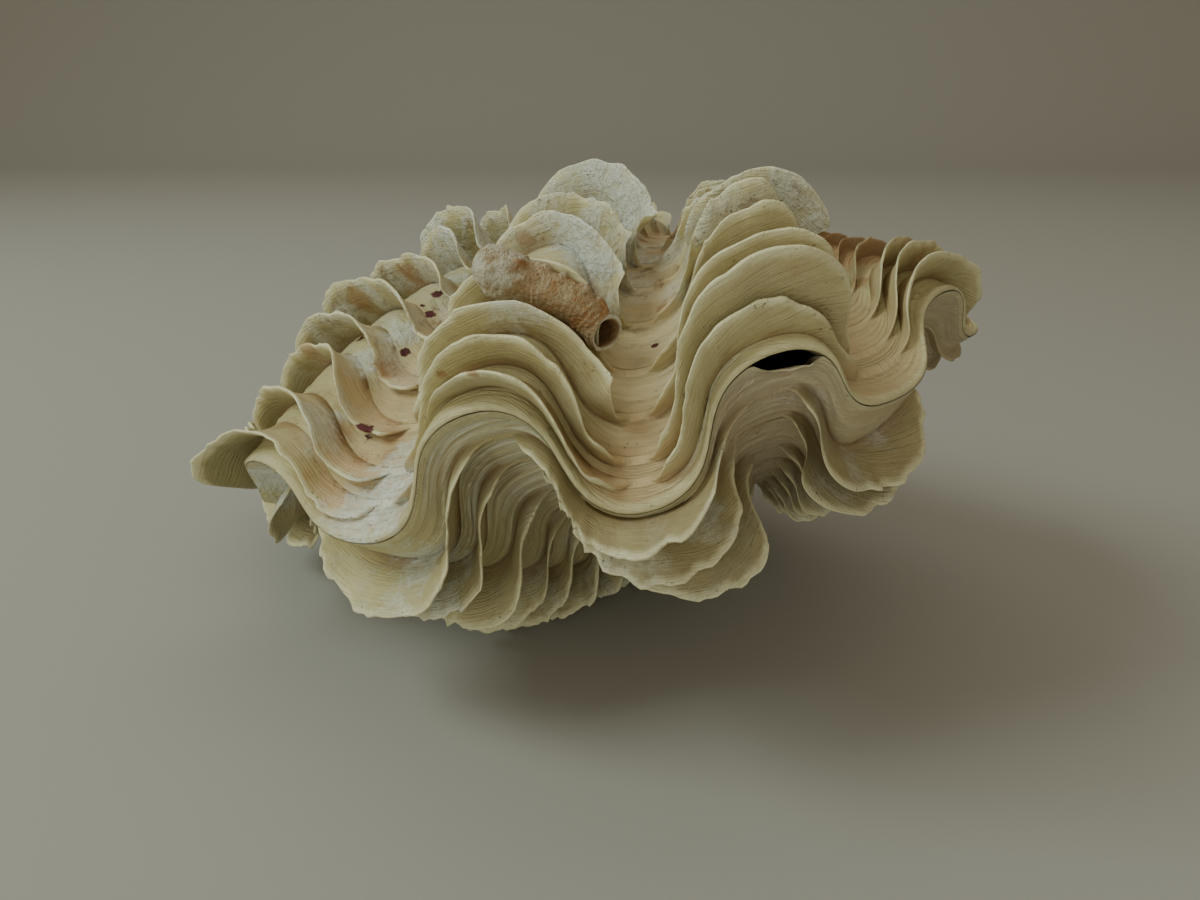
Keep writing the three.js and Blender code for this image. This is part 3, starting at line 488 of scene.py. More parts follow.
            jag = jag * (1.15 - 0.40 * worn + (2.6 * smooth(3.1, 2.5, U) if j == 0 else 0.0))
        else:
            teeth = (0.22 - np.abs(noise1(arc / 3.9, seed + 33))) * 2.6 + (0.25 - np.abs(noise1(arc / 1.9, seed + 35))) * 0.5
            jag = jag * 1.15 + (teeth if j < 3 else 0.4 * teeth) * smooth(0.85, 0.45, aq)
        height = height + jag * reach
        flut = (1.2 * fbm1(arc / 13, seed + 3, 2) + 0.4 * noise1(arc / 4.2, seed + 4)) * reach
        older = j > 6
        nb = 4 if older else 6
        ss = np.linspace(0, 1, nb + 1) ** 0.9
        tip = 0.46 + 0.2 * fbm1(arc / 9, seed + 6, 2)
        tip = np.minimum(tip, 0.35 + 0.3 * height)
        foot_b = face(feet[j][0], U, side)[0]
        foot_f = face(feet[j][1], U, side)[0]
        h = height[:, None]
        bow = 0.085 * reach[:, None]

        def sheet(s, d):
            w = (SCALE_BASE + (tip - SCALE_BASE) * min(s, 1.0) ** 0.55)[:, None]
            lam = 0.16 * reach[:, None] * noise2(arc / 3.1, np.full_like(arc, s * 7 + j * 3), seed)[:, None] * s
            lam = lam + (0.55 * worn * reach * s * fbm2(arc / 3.4, s * height / 3.4 + 31.0 * j, seed + 61 + (d > 0), 3))[:, None]
            grain = 0.0
            Q = P + h * (s * D + 4 * bow * s * (1 - s) * E) + d * (w + lam) * E + (s * s * flut)[:, None] * E
            return Q

        for foot, d, order in ((foot_b, -1, ss), (foot_f, 1, ss[::-1])):
            base = sheet(0.0, d)
            if d > 0:                                  # rounded edge between the two faces
                X = (sheet(1.0, 0.0) + D * (tip * 0.7)[:, None]) * stand + P * (1 - stand)
                push(X, rim=reach, leaf=reach, grow=g * rate + height, front=0.5, age=1 - g)
            for s in order:
                X = sheet(s, d) + (foot - base) * (1 - s) ** 2.2
                g_flat = g + (feet[j][0 if d < 0 else 1] - g) * (1 - 0.85 * s)
                X = X * stand + face(g_flat, U, side)[0] * (1 - stand)
                near = (1 - s) * height                 # mm from the edge
                push(X, rim=reach * np.exp(-near / 2.2), root=(1 - s) ** 2 * reach, leaf=reach * smooth(0, 0.3, s),
                     grow=g * rate + height * s * 1.0, front=0.5 + 0.5 * d, age=1 - g)
        g_next = feet[j - 1][0] if j > 0 else np.ones_like(U)
        young = j < 6
        if j > 0:
            bare(feet[j][1], g_next, 0, 4 if young else 2, 0.42 if young else 0.3, seed + 60, skip_first=True)
        else:
            bare(feet[0][1], np.full_like(U, 0.985), 0, 3, 0.40, seed + 60, ends=(1.0, 0.0), skip_first=True)
            for g1 in (0.9895, 0.993, 0.996, 0.9985, 1.0):
                g_row = np.maximum(np.full_like(U, g1), feet[0][1])
                P, T, N, F, rate = face(g_row, U, side)
                lip = 0.0
                if side > 0:
                    lip = LIP_OUT * smooth(0.970, 0.992, g1) * (smooth(1.0012, 0.9962, g1)) * (0.75 + 0.5 * fbm1(ARC / 14, 51, 2))
                wob = fbm2(ARC / 5.0, np.full_like(ARC, 9.0 + g1), 41, 3) * (1.0 - g1) / 0.0105
                push(P + F * (lip + 0.15 * wob)[:, None] + T * (0.5 * np.asarray(lip) * np.ones_like(U))[:, None], rim=0.6, grow=g_row * rate, age=1 - g_row)
    outer = np.array(P_rows)
    A = {k: np.array(v) for k, v in attr.items()}

    # the worn notch in the lower lip under the third arch, where the valves gape
    stages = [CAVITY_END, 0.23, 0.26, 0.31, 0.36, 0.42, 0.48, 0.55, 0.62, 0.69, 0.76, 0.82, 0.88, 0.92, 0.955, 0.98, 1.0]
    inner = []
    for g in stages:
        b = CURL[side] * math.log(1 / g) * side
        calm = 1.0 if g >= 1 else 0.25 + 0.65 * g
        phi, z, r = mouth(U)
        P, T, N, F, rate = face(np.full_like(U, g), U, side)
        p = turn(np.stack([LIP * r * np.sin(phi), -LIP * r * np.cos(phi), z * calm], -1), np.full_like(U, b)) * g
        p = p - N * (WALL_EXTRA * (1 - g) ** 0.7)
        if g < 1:
            shell, own = P[:, 2] * side, p[:, 2] * side
            low = np.where((U < 1.2) | (U > LAST - 1.2), 0.35 * shell, own)
            low2 = np.full_like(own, 0.6) if g < 0.9 else own
            p[:, 2] = side * np.maximum(np.maximum(own, low), low2)
        p[:, 2] += GAP * side
        inner.append(p)
    inner = np.array(inner)
    if side < 0:
        ragged = 0.012 * fbm1(ARC / 3, 77, 2)
        dip = 4.4 * smooth(6.83, 6.98, U + ragged) * smooth(7.25, 7.10, U + ragged) * (1 + 0.2 * fbm1(ARC / 2.5, 78, 2))
        for rws, gs in ((outer, None), (inner, stages)):
            for i in range(len(rws)):
                if gs is None:
                    back = len(rws) - 1 - i
                    k = max(0.0, 1 - back / 9.0)
                else:
                    k = max(0.0, 1 - (1 - gs[i]) / 0.08)
                rws[i] += (dip * k)[:, None] * np.array([0, 0.1, -1.0])

    def with_feet(rows, back):
        L, R = rows[:, :1].copy(), rows[:, -1:].copy()
        for X in (L, R):
            X[..., 1] += back
            X[..., 2] = GAP * side
        return np.concatenate([L, rows, R], 1)

    outer_f, inner_f = with_feet(outer, 5.0), with_feet(inner, 0.4)
    n = outer_f.shape[1]
    ro, ri = len(outer_f), len(inner_f)
    V = np.concatenate([outer_f.reshape(-1, 3), inner_f.reshape(-1, 3)])
    I = ro * n
    faces = []

    def grid(base, rows, flip):
        r, i = np.meshgrid(np.arange(rows - 1), np.arange(n - 1), indexing="ij")
        a = base + r * n + i
        quad = np.stack([a, a + n, a + n + 1, a + 1], -1).reshape(-1, 4)
        return quad[:, ::-1] if flip else quad

    faces.append(grid(0, ro, False))
    faces.append(grid(I, ri, True))
    i = np.arange(n - 1)
    oe, ie = (ro - 1) * n, I + (ri - 1) * n
    faces.append(np.stack([oe + i, ie + i, ie + i + 1, oe + i + 1], -1))
    extra = []
    caps = []
    for start, out in ((0, True), (I, False)):
        loop = list(range(start, start + n))
        c = len(V) + len(caps)
        caps.append(V[loop].mean(0))
        for x, y in zip(loop, loop[1:] + loop[:1]):
            extra.append((x, y, c) if out else (y, x, c))
    V = np.concatenate([V, np.array(caps)])

    def strip(a, b, flip):
        i = k = 0
        while i + 1 < len(a) or k + 1 < len(b):
            step_a = k + 1 >= len(b) or (i + 1 < len(a) and abs(V[a[i + 1]][0]) <= abs(V[b[k + 1]][0]))
            if step_a:
                extra.append((a[i], b[k], a[i + 1]) if flip else (a[i], a[i + 1], b[k]))
                i += 1
            else:
                extra.append((a[i], b[k], b[k + 1]) if flip else (a[i], b[k + 1], b[k]))
                k += 1

    strip([r * n for r in range(ro)], [I + r * n for r in range(ri)], True)
    strip([r * n + n - 1 for r in range(ro)], [I + r * n + n - 1 for r in range(ri)], False)
    polys = [tuple(f) for f in np.concatenate(faces).tolist()] + extra + [(0, n - 1, I + n - 1, I)]
    if side < 0:
        polys = [p[::-1] for p in polys]

    values = {}
    for name, a in A.items():
        full = np.concatenate([a[:, :1], a, a[:, -1:]], 1).reshape(-1)
        rest = np.zeros(len(V) - I) if name != "age" else np.full(len(V) - I, 0.5)
        values[name] = np.concatenate([full, rest])
    u_all = np.concatenate([[0], U, [LAST]])
    values["across"] = np.concatenate([np.tile(u_all, ro), np.tile(u_all, ri), [6, 6]])
    values["arcmm"] = np.concatenate([np.tile(np.concatenate([[0], ARC, [ARC[-1]]]), ro + ri), [0, 0]])
    inside = np.zeros(len(V))
    inside[I:] = 1
    values["inside"] = inside
    return V, polys, values


def lie(P):
    x, y, z = np.radians(LIE)
    Rz = np.array([[math.cos(x), -math.sin(x), 0], [math.sin(x), math.cos(x), 0], [0, 0, 1]])
    Ry = np.array([[math.cos(y), 0, math.sin(y)], [0, 1, 0], [-math.sin(y), 0, math.cos(y)]])
    Rx = np.array([[1, 0, 0], [0, math.cos(z), -math.sin(z)], [0, math.sin(z), math.cos(z)]])
    return (P @ (Rz @ Ry @ Rx).T + PLACE) / 1000.0


def make(name, V, polys, values, node):
    me = bpy.data.meshes.new(name)
    me.from_pydata(V.tolist(), [], polys)
    me.validate()
    for key, v in values.items():
        a = me.attributes.new(key, "FLOAT", "POINT")
        a.data.foreach_set("value", np.asarray(v, np.float32))
    me.polygons.foreach_set("use_smooth", [True] * len(me.polygons))
    me.update()
    ob = bpy.data.objects.new(name, me)
    bpy.context.scene.collection.objects.link(ob)
    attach(ob, "root")
    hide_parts(node)
    return ob


# ---- patches: centre on the shell (m), radius (m), strength --------------------------
WHITE_UPPER = (
    ((-0.0580, -0.0809, 0.0714), 0.013, 0.9), ((-0.0655, -0.0823, 0.0656), 0.012, 0.8), ((-0.0543, -0.0743, 0.0782), 0.009, 0.7),
    ((-0.0817, -0.0572, 0.0877), 0.008, 0.6), ((-0.0727, -0.0310, 0.0992), 0.007, 0.75), ((-0.0630, -0.0185, 0.1060), 0.007, 0.75),
    ((-0.0041, -0.0350, 0.1439), 0.008, 1.0), ((0.0052, -0.0431, 0.1340), 0.007, 1.0), ((0.0021, -0.0396, 0.1370), 0.008, 1.0),
    ((0.0086, 0.0022, 0.1516), 0.016, 0.85), ((0.0187, -0.0069, 0.1461), 0.011, 0.8), ((0.0722, -0.0441, 0.1452), 0.006, 0.9),
    ((0.0612, -0.0400, 0.1570), 0.009, 0.6), ((-0.0476, 0.0156, 0.1307), 0.012, 0.8), ((-0.0195, -0.0825, 0.1305), 0.008, 0.6),
)
STAIN_UPPER = (
    ((-0.0765, -0.0542, 0.0825), 0.0045, 0.55), ((-0.0593, -0.0666, 0.0795), 0.0032, 0.7), ((-0.0580, -0.0615, 0.0830), 0.0042, 0.5),
    ((-0.0642, -0.0355, 0.0978), 0.0045, 0.6), ((-0.0666, -0.0396, 0.0984), 0.0040, 0.5), ((-0.0690, -0.0650, 0.0790), 0.0040, 0.45), ((-0.0180, -0.0293, 0.1383), 0.0030, 0.6),
    ((-0.0382, -0.0859, 0.1117), 0.0016, 0.8), ((-0.0268, -0.1065, 0.1187), 0.0016, 0.7), ((0.0173, -0.0238, 0.1260), 0.0030, 0.6),
    ((0.0241, -0.0494, 0.1212), 0.0020, 0.7), ((0.0843, -0.0447, 0.1278), 0.0030, 0.6), ((0.0200, 0.0200, 0.1150), 0.0170, 0.6),
    ((0.0950, -0.0150, 0.1330), 0.0230, 0.75), ((0.0800, 0.0050, 0.1450), 0.0180, 0.7), ((-0.0700, -0.0450, 0.0880), 0.0150, 0.20), ((-0.0940, -0.0201, 0.0995), 0.0060, 0.55), ((-0.0812, 0.0033, 0.1114), 0.0060, 0.5), ((-0.0633, 0.0157, 0.1167), 0.0065, 0.55),
)
RED_UPPER = (
    ((-0.0684, -0.0582, 0.0843), 0.0035), ((-0.0602, -0.0263, 0.1005), 0.0018), ((-0.0528, -0.0001, 0.1143), 0.0021),
    ((-0.0540, -0.0099, 0.1095), 0.0018), ((-0.0570, -0.0060, 0.1108), 0.0013), ((-0.0779, -0.0146, 0.1018), 0.0015),
    ((0.0213, -0.0650, 0.1139), 0.0011),
)
WHITE_LOWER = (
    ((-0.0457, -0.0828, 0.0525), 0.011, 0.8), ((-0.0460, -0.0860, 0.0400), 0.010, 0.6), ((0.0330, -0.1010, 0.0745), 0.005, 0.6),
    ((-0.1073, -0.0331, 0.0566), 0.010, 0.9), ((0.0200, -0.1080, 0.0500), 0.007, 0.3),
)
STAIN_LOWER = (
    ((-0.0250, -0.0700, 0.0100), 0.0060, 0.4), ((-0.0950, -0.0600, 0.0450), 0.0110, 0.3),
)


# ---- materials ---------------------------------------------------------------------
class Nodes:
    """Short helpers around one node tree."""

    def __init__(self, name):
        self.mat = bpy.data.materials.new(name)
        self.mat.use_nodes = True
        self.t = self.mat.node_tree
        self.t.nodes.clear()
        self.out = self.t.nodes.new("ShaderNodeOutputMaterial")
        self.bsdf = self.t.nodes.new("ShaderNodeBsdfPrincipled")
        self.link(self.bsdf.outputs[0], self.out.inputs["Surface"])

    def link(self, a, b):
        self.t.links.new(a, b)

    def put(self, value, socket):
        if hasattr(value, "is_output") or isinstance(value, bpy.types.NodeSocket):
            self.link(value, socket)
        else:
            socket.default_value = value

    def attr(self, name):
        n = self.t.nodes.new("ShaderNodeAttribute")
        n.attribute_name = name
        return n.outputs["Fac"]

    def position(self):
        n = self.t.nodes.new("ShaderNodeTexCoord")
        return n.outputs["Object"]

    def math(self, op, a, b=0.0, clamp=False, c=None):
        n = self.t.nodes.new("ShaderNodeMath")
        n.operation = op
        n.use_clamp = clamp
        self.put(a, n.inputs[0])
        self.put(b, n.inputs[1])
        if c is not None:
            self.put(c, n.inputs[2])
        return n.outputs[0]

    def ramp(self, x, a, b, lo=0.0, hi=1.0):
        n = self.t.nodes.new("ShaderNodeMapRange")
        n.interpolation_type = "SMOOTHSTEP"
        self.put(x, n.inputs["Value"])
        for k, v in (("From Min", a), ("From Max", b), ("To Min", lo), ("To Max", hi)):
            self.put(v, n.inputs[k])
        return n.outputs["Result"]

    def noise(self, vec, scale, detail=3.0, rough=0.55, distort=0.0, colour=False):
        n = self.t.nodes.new("ShaderNodeTexNoise")
        self.put(vec, n.inputs["Vector"])
        n.inputs["Scale"].default_value = scale
        n.inputs["Detail"].default_value = detail
        n.inputs["Roughness"].default_value = rough
        n.inputs["Distortion"].default_value = distort
        return n.outputs["Color" if colour else "Fac"]

    def voronoi(self, vec, scale, feature="F1", out="Distance"):
        n = self.t.nodes.new("ShaderNodeTexVoronoi")
        n.feature = feature
        self.put(vec, n.inputs["Vector"])
        n.inputs["Scale"].default_value = scale
        return n.outputs[out]

    def mix(self, fac, a, b, mode="MIX"):
        n = self.t.nodes.new("ShaderNodeMix")
        n.data_type = "RGBA"
        n.blend_type = mode
        n.clamp_factor = True
        self.put(fac, n.inputs["Factor"])
        for v, s in ((a, n.inputs[6]), (b, n.inputs[7])):
            self.put(v if isinstance(v, bpy.types.NodeSocket) else (*v, 1.0), s)
        return n.outputs[2]

    def combine(self, x, y, z):
        n = self.t.nodes.new("ShaderNodeCombineXYZ")
        for v, s in zip((x, y, z), n.inputs):
            self.put(v, s)
        return n.outputs[0]

    def vec(self, op, a, b):
        n = self.t.nodes.new("ShaderNodeVectorMath")
        n.operation = op
        self.put(a, n.inputs[0])
        self.put(b, n.inputs[1])
        return n.outputs["Value" if op in ("DISTANCE", "LENGTH") else "Vector"]

    def bump(self, height, distance, strength=1.0, normal=None):
        n = self.t.nodes.new("ShaderNodeBump")
        n.inputs["Strength"].default_value = strength
        n.inputs["Distance"].default_value = distance
        self.put(height, n.inputs["Height"])
        if normal is not None:
            self.put(normal, n.inputs["Normal"])
        return n.outputs[0]


def spot(n, p, vec, centre, radius, ragged=0.35, soft=0.16):
    """A ragged round patch: 1 inside, 0 outside."""
    d = n.vec("DISTANCE", vec, centre)
    d = n.math("ADD", d, n.math("MULTIPLY", n.math("SUBTRACT", p, 0.5), radius * ragged * 4))
    return n.ramp(d, radius * (1 + soft), radius * (1 - soft))


def shell_material(name, upper):
    n = Nodes(name)
    pos = n.position()
    rim, root, leaf, grow, front, age, across, inside = (n.attr(k) for k in ("rim", "root", "leaf", "grow", "front", "age", "across", "inside"))
    layer = n.attr("layer")
    arc = n.attr("arcmm")
    broad = n.noise(pos, 22, 3, 0.55)
    mid = n.noise(pos, 90, 3, 0.6)
    fine = n.noise(pos, 420, 3, 0.6)
    speck = n.noise(pos, 1400, 2, 0.5)
    # base: cream with a yellow-olive tint, paler in clouds
    # the lower valve's cream is darker than the upper's, partly as painted shade on the lower valve
    cream = (0.575, 0.500, 0.262) if upper else (0.520, 0.450, 0.235)
    pale = (0.655, 0.585, 0.298)
    olive = (0.440, 0.380, 0.190)
    col = n.mix(n.ramp(broad, 0.35, 0.68), cream, pale)
    col = n.mix(n.math("MULTIPLY", n.ramp(mid, 0.42, 0.72), 0.45), col, olive)
    # peach valleys between the ribs and on the outer faces of the scales
    peach = (0.660, 0.480, 0.270) if upper else (0.520, 0.425, 0.290)
    wave = n.math("COSINE", n.math("MULTIPLY", across, math.pi))          # 1 on even, -1 on odd extremes
    valley = n.ramp(wave if upper else n.math("MULTIPLY", wave, -1.0), 0.0, 0.9)
    bare = n.math("SUBTRACT", 1.0, leaf, clamp=True)
    back = n.math("SUBTRACT", 1.0, front, clamp=True)
    amount = n.math("MULTIPLY", n.math("ADD", n.math("MULTIPLY", valley, 0.75), n.math("MULTIPLY", n.math("MULTIPLY", leaf, back), 0.5)), n.ramp(broad, 0.25, 0.6))
    amount = n.math("MULTIPLY", amount, 1.0 if upper else 0.85, clamp=True)
    col = n.mix(n.math("MULTIPLY", amount, n.ramp(rim, 0.9, 0.1)), col, peach)
    # fine growth lines
    line = n.noise(n.combine(n.math("MULTIPLY", arc, 0.022), n.math("MULTIPLY", grow, 1.15), n.math("MULTIPLY", age, 3.0)), 1.0, 3, 0.72)
    line2 = n.noise(n.combine(n.math("MULTIPLY", arc, 0.05), n.math("MULTIPLY", grow, 3.1), 4.0), 1.0, 3, 0.6)
    dark_line = n.math("MULTIPLY", n.ramp(line, 0.58, 0.72), 0.32)
    col = n.mix(dark_line, col, (0.34, 0.28, 0.17))
    # streaks that run from the root of a scale to its edge
    streak = n.noise(n.combine(n.math("MULTIPLY", arc, 0.75), n.math("MULTIPLY", grow, 0.05), n.math("MULTIPLY", age, 9.0)), 1.0, 2, 0.6)
    col = n.mix(n.math("MULTIPLY", n.math("MULTIPLY", n.ramp(streak, 0.52, 0.74), leaf), 0.14), col, (0.76, 0.71, 0.48))
    # layered faces near the mouth: white and olive in turn
    col = n.mix(n.math("MULTIPLY", layer, n.ramp(line, 0.40, 0.60, 0.75, 0.0)), col, (0.74, 0.75, 0.60))
    col = n.mix(n.math("MULTIPLY", layer, n.ramp(line2, 0.55, 0.72, 0.0, 0.5)), col, (0.42, 0.37, 0.20))
    # painted shade: inner faces of the scales are a little darker and more olive away from the edge, deeper in the
    # hollow
    col = n.mix(n.math("MULTIPLY", n.math("MULTIPLY", leaf, n.ramp(front, 0.55, 0.9)), n.ramp(rim, 0.35, 0.0, 0.0, 0.30)), col, (0.46, 0.41, 0.22))
    if upper:                                          # painted shade: hollows of the second rib's hoods are darker
        hood_shade = n.math("MULTIPLY", n.math("MULTIPLY", leaf, n.ramp(front, 0.55, 0.9)), n.ramp(across, 3.25, 2.7))
        col = n.mix(n.math("MULTIPLY", hood_shade, n.ramp(rim, 0.5, 0.05, 0.1, 0.9)), col, (0.285, 0.245, 0.110))
    if not upper:                                      # leaves right of the middle are tanner, and darker as painted shade on the dimmer right side
        tan_and_shade = n.math("MULTIPLY", n.math("MULTIPLY", n.ramp(across, 4.8, 5.8), leaf), n.ramp(mid, 0.25, 0.6, 0.6, 0.95))
        col = n.mix(tan_and_shade, col, (0.380, 0.310, 0.155))
        # the bare interspace around the seventh fold is painted paler and greyer: partly its tone, partly painted light
        # in that shaded hollow
        col = n.mix(n.math("MULTIPLY", n.math("MULTIPLY", n.ramp(across, 6.0, 6.6), bare), 0.6), col, (0.600, 0.485, 0.330))
    # dirt gathers at the roots of the scales, deepened as painted shade in the crevices
    dirt_and_shade = n.math("MULTIPLY", n.ramp(n.math("ADD", root, n.math("MULTIPLY", n.math("SUBTRACT", mid, 0.5), 1.1)), 0.25, 1.0), 0.72)
    col = n.mix(dirt_and_shade, col, (0.330, 0.190, 0.075))
    stain = n.math("MULTIPLY", n.ramp(n.noise(pos, 48, 3, 0.65), 0.60, 0.74), 0.45 if upper else 0.25)
    col = n.mix(stain, col, (0.52, 0.31, 0.13))
    # the oldest scales carry a pale, pitted crust with brown spots
    old = n.ramp(n.math("ADD", age, n.math("MULTIPLY", n.math("SUBTRACT", broad, 0.5), 0.35)), 0.13, 0.30)
    crust = n.math("MULTIPLY", n.math("MULTIPLY", old, n.ramp(mid, 0.38, 0.60)), n.math("ADD", 0.35, n.math("MULTIPLY", leaf, 0.45)))
    if not upper:
        crust = n.math("MULTIPLY", crust, 0.55)
    col = n.mix(crust, col, (0.680, 0.670, 0.530))
    brown = n.math("MULTIPLY", n.math("MULTIPLY", n.ramp(n.noise(pos, 115, 3, 0.7, 0.6), 0.56, 0.66), old), 0.75 if upper else 0.4)
    col = n.mix(brown, col, (0.300, 0.185, 0.085))
    # pale thin edges of the scales, partly a painted highlight along the rims
    edge = n.ramp(n.math("ADD", rim, n.math("MULTIPLY", n.math("SUBTRACT", fine, 0.5), 0.5)), 0.3, 0.95)
    col = n.mix(n.math("MULTIPLY", edge, 0.80), col, (0.820, 0.780, 0.500))
    return n, dict(pos=pos, rim=rim, root=root, leaf=leaf, grow=grow, front=front, age=age, across=across, inside=inside, broad=broad, mid=mid, fine=fine, speck=speck, line=line, line2=line2, col=col, arc=arc, back=back, layer=layer, streak=streak, crust=crust)


def finish_shell(n, k, col, chalk):
    # worn, chalky patches: white and pitted
    col = n.mix(n.math("MULTIPLY", chalk, n.ramp(k["fine"], 0.30, 0.62, 0.45, 0.95)), col, n.mix(n.ramp(k["mid"], 0.3, 0.7), (0.66, 0.70, 0.62), (0.84, 0.88, 0.80)))
    pit = n.math("MULTIPLY", n.ramp(n.voronoi(k["pos"], 520), 0.24, 0.06), n.math("MAXIMUM", n.ramp(k["mid"], 0.52, 0.66), n.math("MULTIPLY", k["crust"], 1.2)), clamp=True)
    col = n.mix(n.math("MULTIPLY", pit, 0.5), col, (0.30, 0.25, 0.15))
    inner = n.mix(n.ramp(k["broad"], 0.3, 0.7), (0.50, 0.34, 0.20), (0.62, 0.46, 0.30))
    col = n.mix(k["inside"], col, inner)
    n.put(col, n.bsdf.inputs["Base Color"])
    rough = n.math("ADD", 0.52, n.math("MULTIPLY", n.math("SUBTRACT", k["mid"], 0.5), 0.25))
    rough = n.math("ADD", rough, n.math("MULTIPLY", chalk, 0.3), clamp=True)
    n.put(rough, n.bsdf.inputs["Roughness"])
    n.bsdf.inputs["Specular IOR Level"].default_value = 0.32
    h = n.math("MULTIPLY", k["line"], 0.5)
    h = n.math("ADD", h, n.math("MULTIPLY", k["line2"], 0.34))
    b = n.bump(h, 0.0016, 0.9)
    grit = n.math("ADD", n.math("MULTIPLY", k["fine"], n.math("ADD", 0.40, n.math("ADD", n.math("MULTIPLY", chalk, 1.1), n.math("MULTIPLY", k["crust"], 2.2)))), n.math("MULTIPLY", k["speck"], n.math("ADD", 0.15, n.math("MULTIPLY", chalk, 0.5))))
    grit = n.math("SUBTRACT", grit, n.math("MULTIPLY", pit, 0.8))
    b = n.bump(grit, 0.0009, 0.7, b)
    n.link(b, n.bsdf.inputs["Normal"])
    return n.mat


def region(n, vec, centre, radius, soft):
    return n.ramp(n.vec("DISTANCE", vec, centre), radius + soft, radius - soft)


def upper_material():
    n, k = shell_material("upper_shell", True)
    col = k["col"]
    chalk = n.math("MULTIPLY", n.ramp(n.math("ADD", n.math("MULTIPLY", k["mid"], 0.7), n.math("MULTIPLY", k["broad"], 0.5)), 0.58, 0.82), n.ramp(k["age"], 0.12, 0.45))
    p2 = n.noise(k["pos"], 700, 3, 0.6)
    p3 = n.noise(k["pos"], 150, 3, 0.6)
    # chalky patches: the white lip of the second valley, the worn tops of the large ribs
    for c, r, a in WHITE_UPPER:
        chalk = n.math("MAXIMUM", chalk, n.math("MULTIPLY", spot(n, p3, k["pos"], c, r, 0.75, 0.5), a))
    # orange and brown stains, then the few deep red crusts
    for c, r, a in STAIN_UPPER:
        col = n.mix(n.math("MULTIPLY", spot(n, p3, k["pos"], c, r, 0.5, 0.4), a), col, (0.42, 0.23, 0.10))
    red = None
    for c, r in RED_UPPER:
        m = spot(n, p2, k["pos"], c, r, 0.30)
        red = m if red is None else n.math("MAXIMUM", red, m)
    chalk = n.math("MULTIPLY", chalk, n.math("SUBTRACT", 1.0, red))
    col = n.mix(red, col, n.mix(n.ramp(p2, 0.35, 0.65), (0.060, 0.008, 0.010), (0.140, 0.022, 0.022)))

    return finish_shell(n, k, col, chalk)


def lower_material():
    n, k = shell_material("lower_shell", False)
    col = k["col"]
    chalk = n.math("MULTIPLY", n.ramp(n.math("ADD", n.math("MULTIPLY", k["mid"], 0.6), n.math("MULTIPLY", k["broad"], 0.6)), 0.64, 0.86), 0.4)
    p3 = n.noise(k["pos"], 150, 3, 0.6)
    for c, r, a in WHITE_LOWER:
        chalk = n.math("MAXIMUM", chalk, n.math("MULTIPLY", spot(n, p3, k["pos"], c, r, 0.75, 0.5), a))
    for c, r, a in STAIN_LOWER:
        col = n.mix(n.math("MULTIPLY", spot(n, p3, k["pos"], c, r, 0.5, 0.4), a), col, (0.50, 0.30, 0.14))

    return finish_shell(n, k, col, chalk)


def tube_material():
    n = Nodes("tube_crust")
    pos = n.position()
    ridge, ring_at = n.attr("ridge"), n.attr("rim")
    broad, mid, fine = n.noise(pos, 60, 3), n.noise(pos, 240, 4, 0.6), n.noise(pos, 900, 3, 0.6)
    course = n.attr("course")
    col = n.mix(n.ramp(mid, 0.36, 0.62), (0.47, 0.36, 0.21), (0.40, 0.27, 0.14))
    # pale chalky ribs over brown grooves; the broad start is white, the knobbly keel orange
    col = n.mix(n.math("MULTIPLY", n.ramp(n.math("ADD", ridge, n.math("MULTIPLY", n.math("SUBTRACT", mid, 0.5), 1.2)), 0.45, 0.95), 0.6), col, (0.58, 0.49, 0.34))
    rust = n.math("ADD", n.noise(pos, 150, 4, 0.65), n.math("MULTIPLY", n.math("SUBTRACT", course, 0.55), 0.16))
    col = n.mix(n.math("MULTIPLY", n.ramp(rust, 0.47, 0.60), 0.75), col, (0.40, 0.19, 0.065))
    col = n.mix(n.math("MULTIPLY", n.ramp(fine, 0.58, 0.72), 0.5), col, (0.33, 0.17, 0.07))
    start = n.ramp(n.math("ADD", course, n.math("MULTIPLY", n.math("SUBTRACT", mid, 0.5), 0.5)), 0.36, 0.16)
    col = n.mix(n.math("MULTIPLY", start, 0.8), col, n.mix(n.ramp(mid, 0.40, 0.66), (0.66, 0.65, 0.52), (0.47, 0.36, 0.22)))
    col = n.mix(ring_at, col, (0.78, 0.74, 0.62))
    # painted shade: the bore of the open end darkens to near black with depth
    col = n.mix(n.attr("inside"), col, (0.10, 0.055, 0.025))
    n.put(col, n.bsdf.inputs["Base Color"])
    n.bsdf.inputs["Roughness"].default_value = 0.8
    n.bsdf.inputs["Specular IOR Level"].default_value = 0.25
    b = n.bump(n.math("ADD", n.math("MULTIPLY", fine, 0.8), mid), 0.0022, 1.0)
    n.link(b, n.bsdf.inputs["Normal"])
    return n.mat


# ---- tube --------------------------------------------------------------------------
TUBE_PATH = ((4.88, 12.8, 0.847), (4.97, 10.4, 0.847), (5.05, 7.0, 0.848), (5.15, 5.0, 0.848), (5.31, 5.4, 0.845), (5.50, 7.4, 0.835),
             (5.74, 9.6, 0.823), (5.82, 10.3, 0.819))
TUBE_HALF = (5.9, 6.1)
SLANT = 3.4                          # the open end is cut at a slant, mm each way


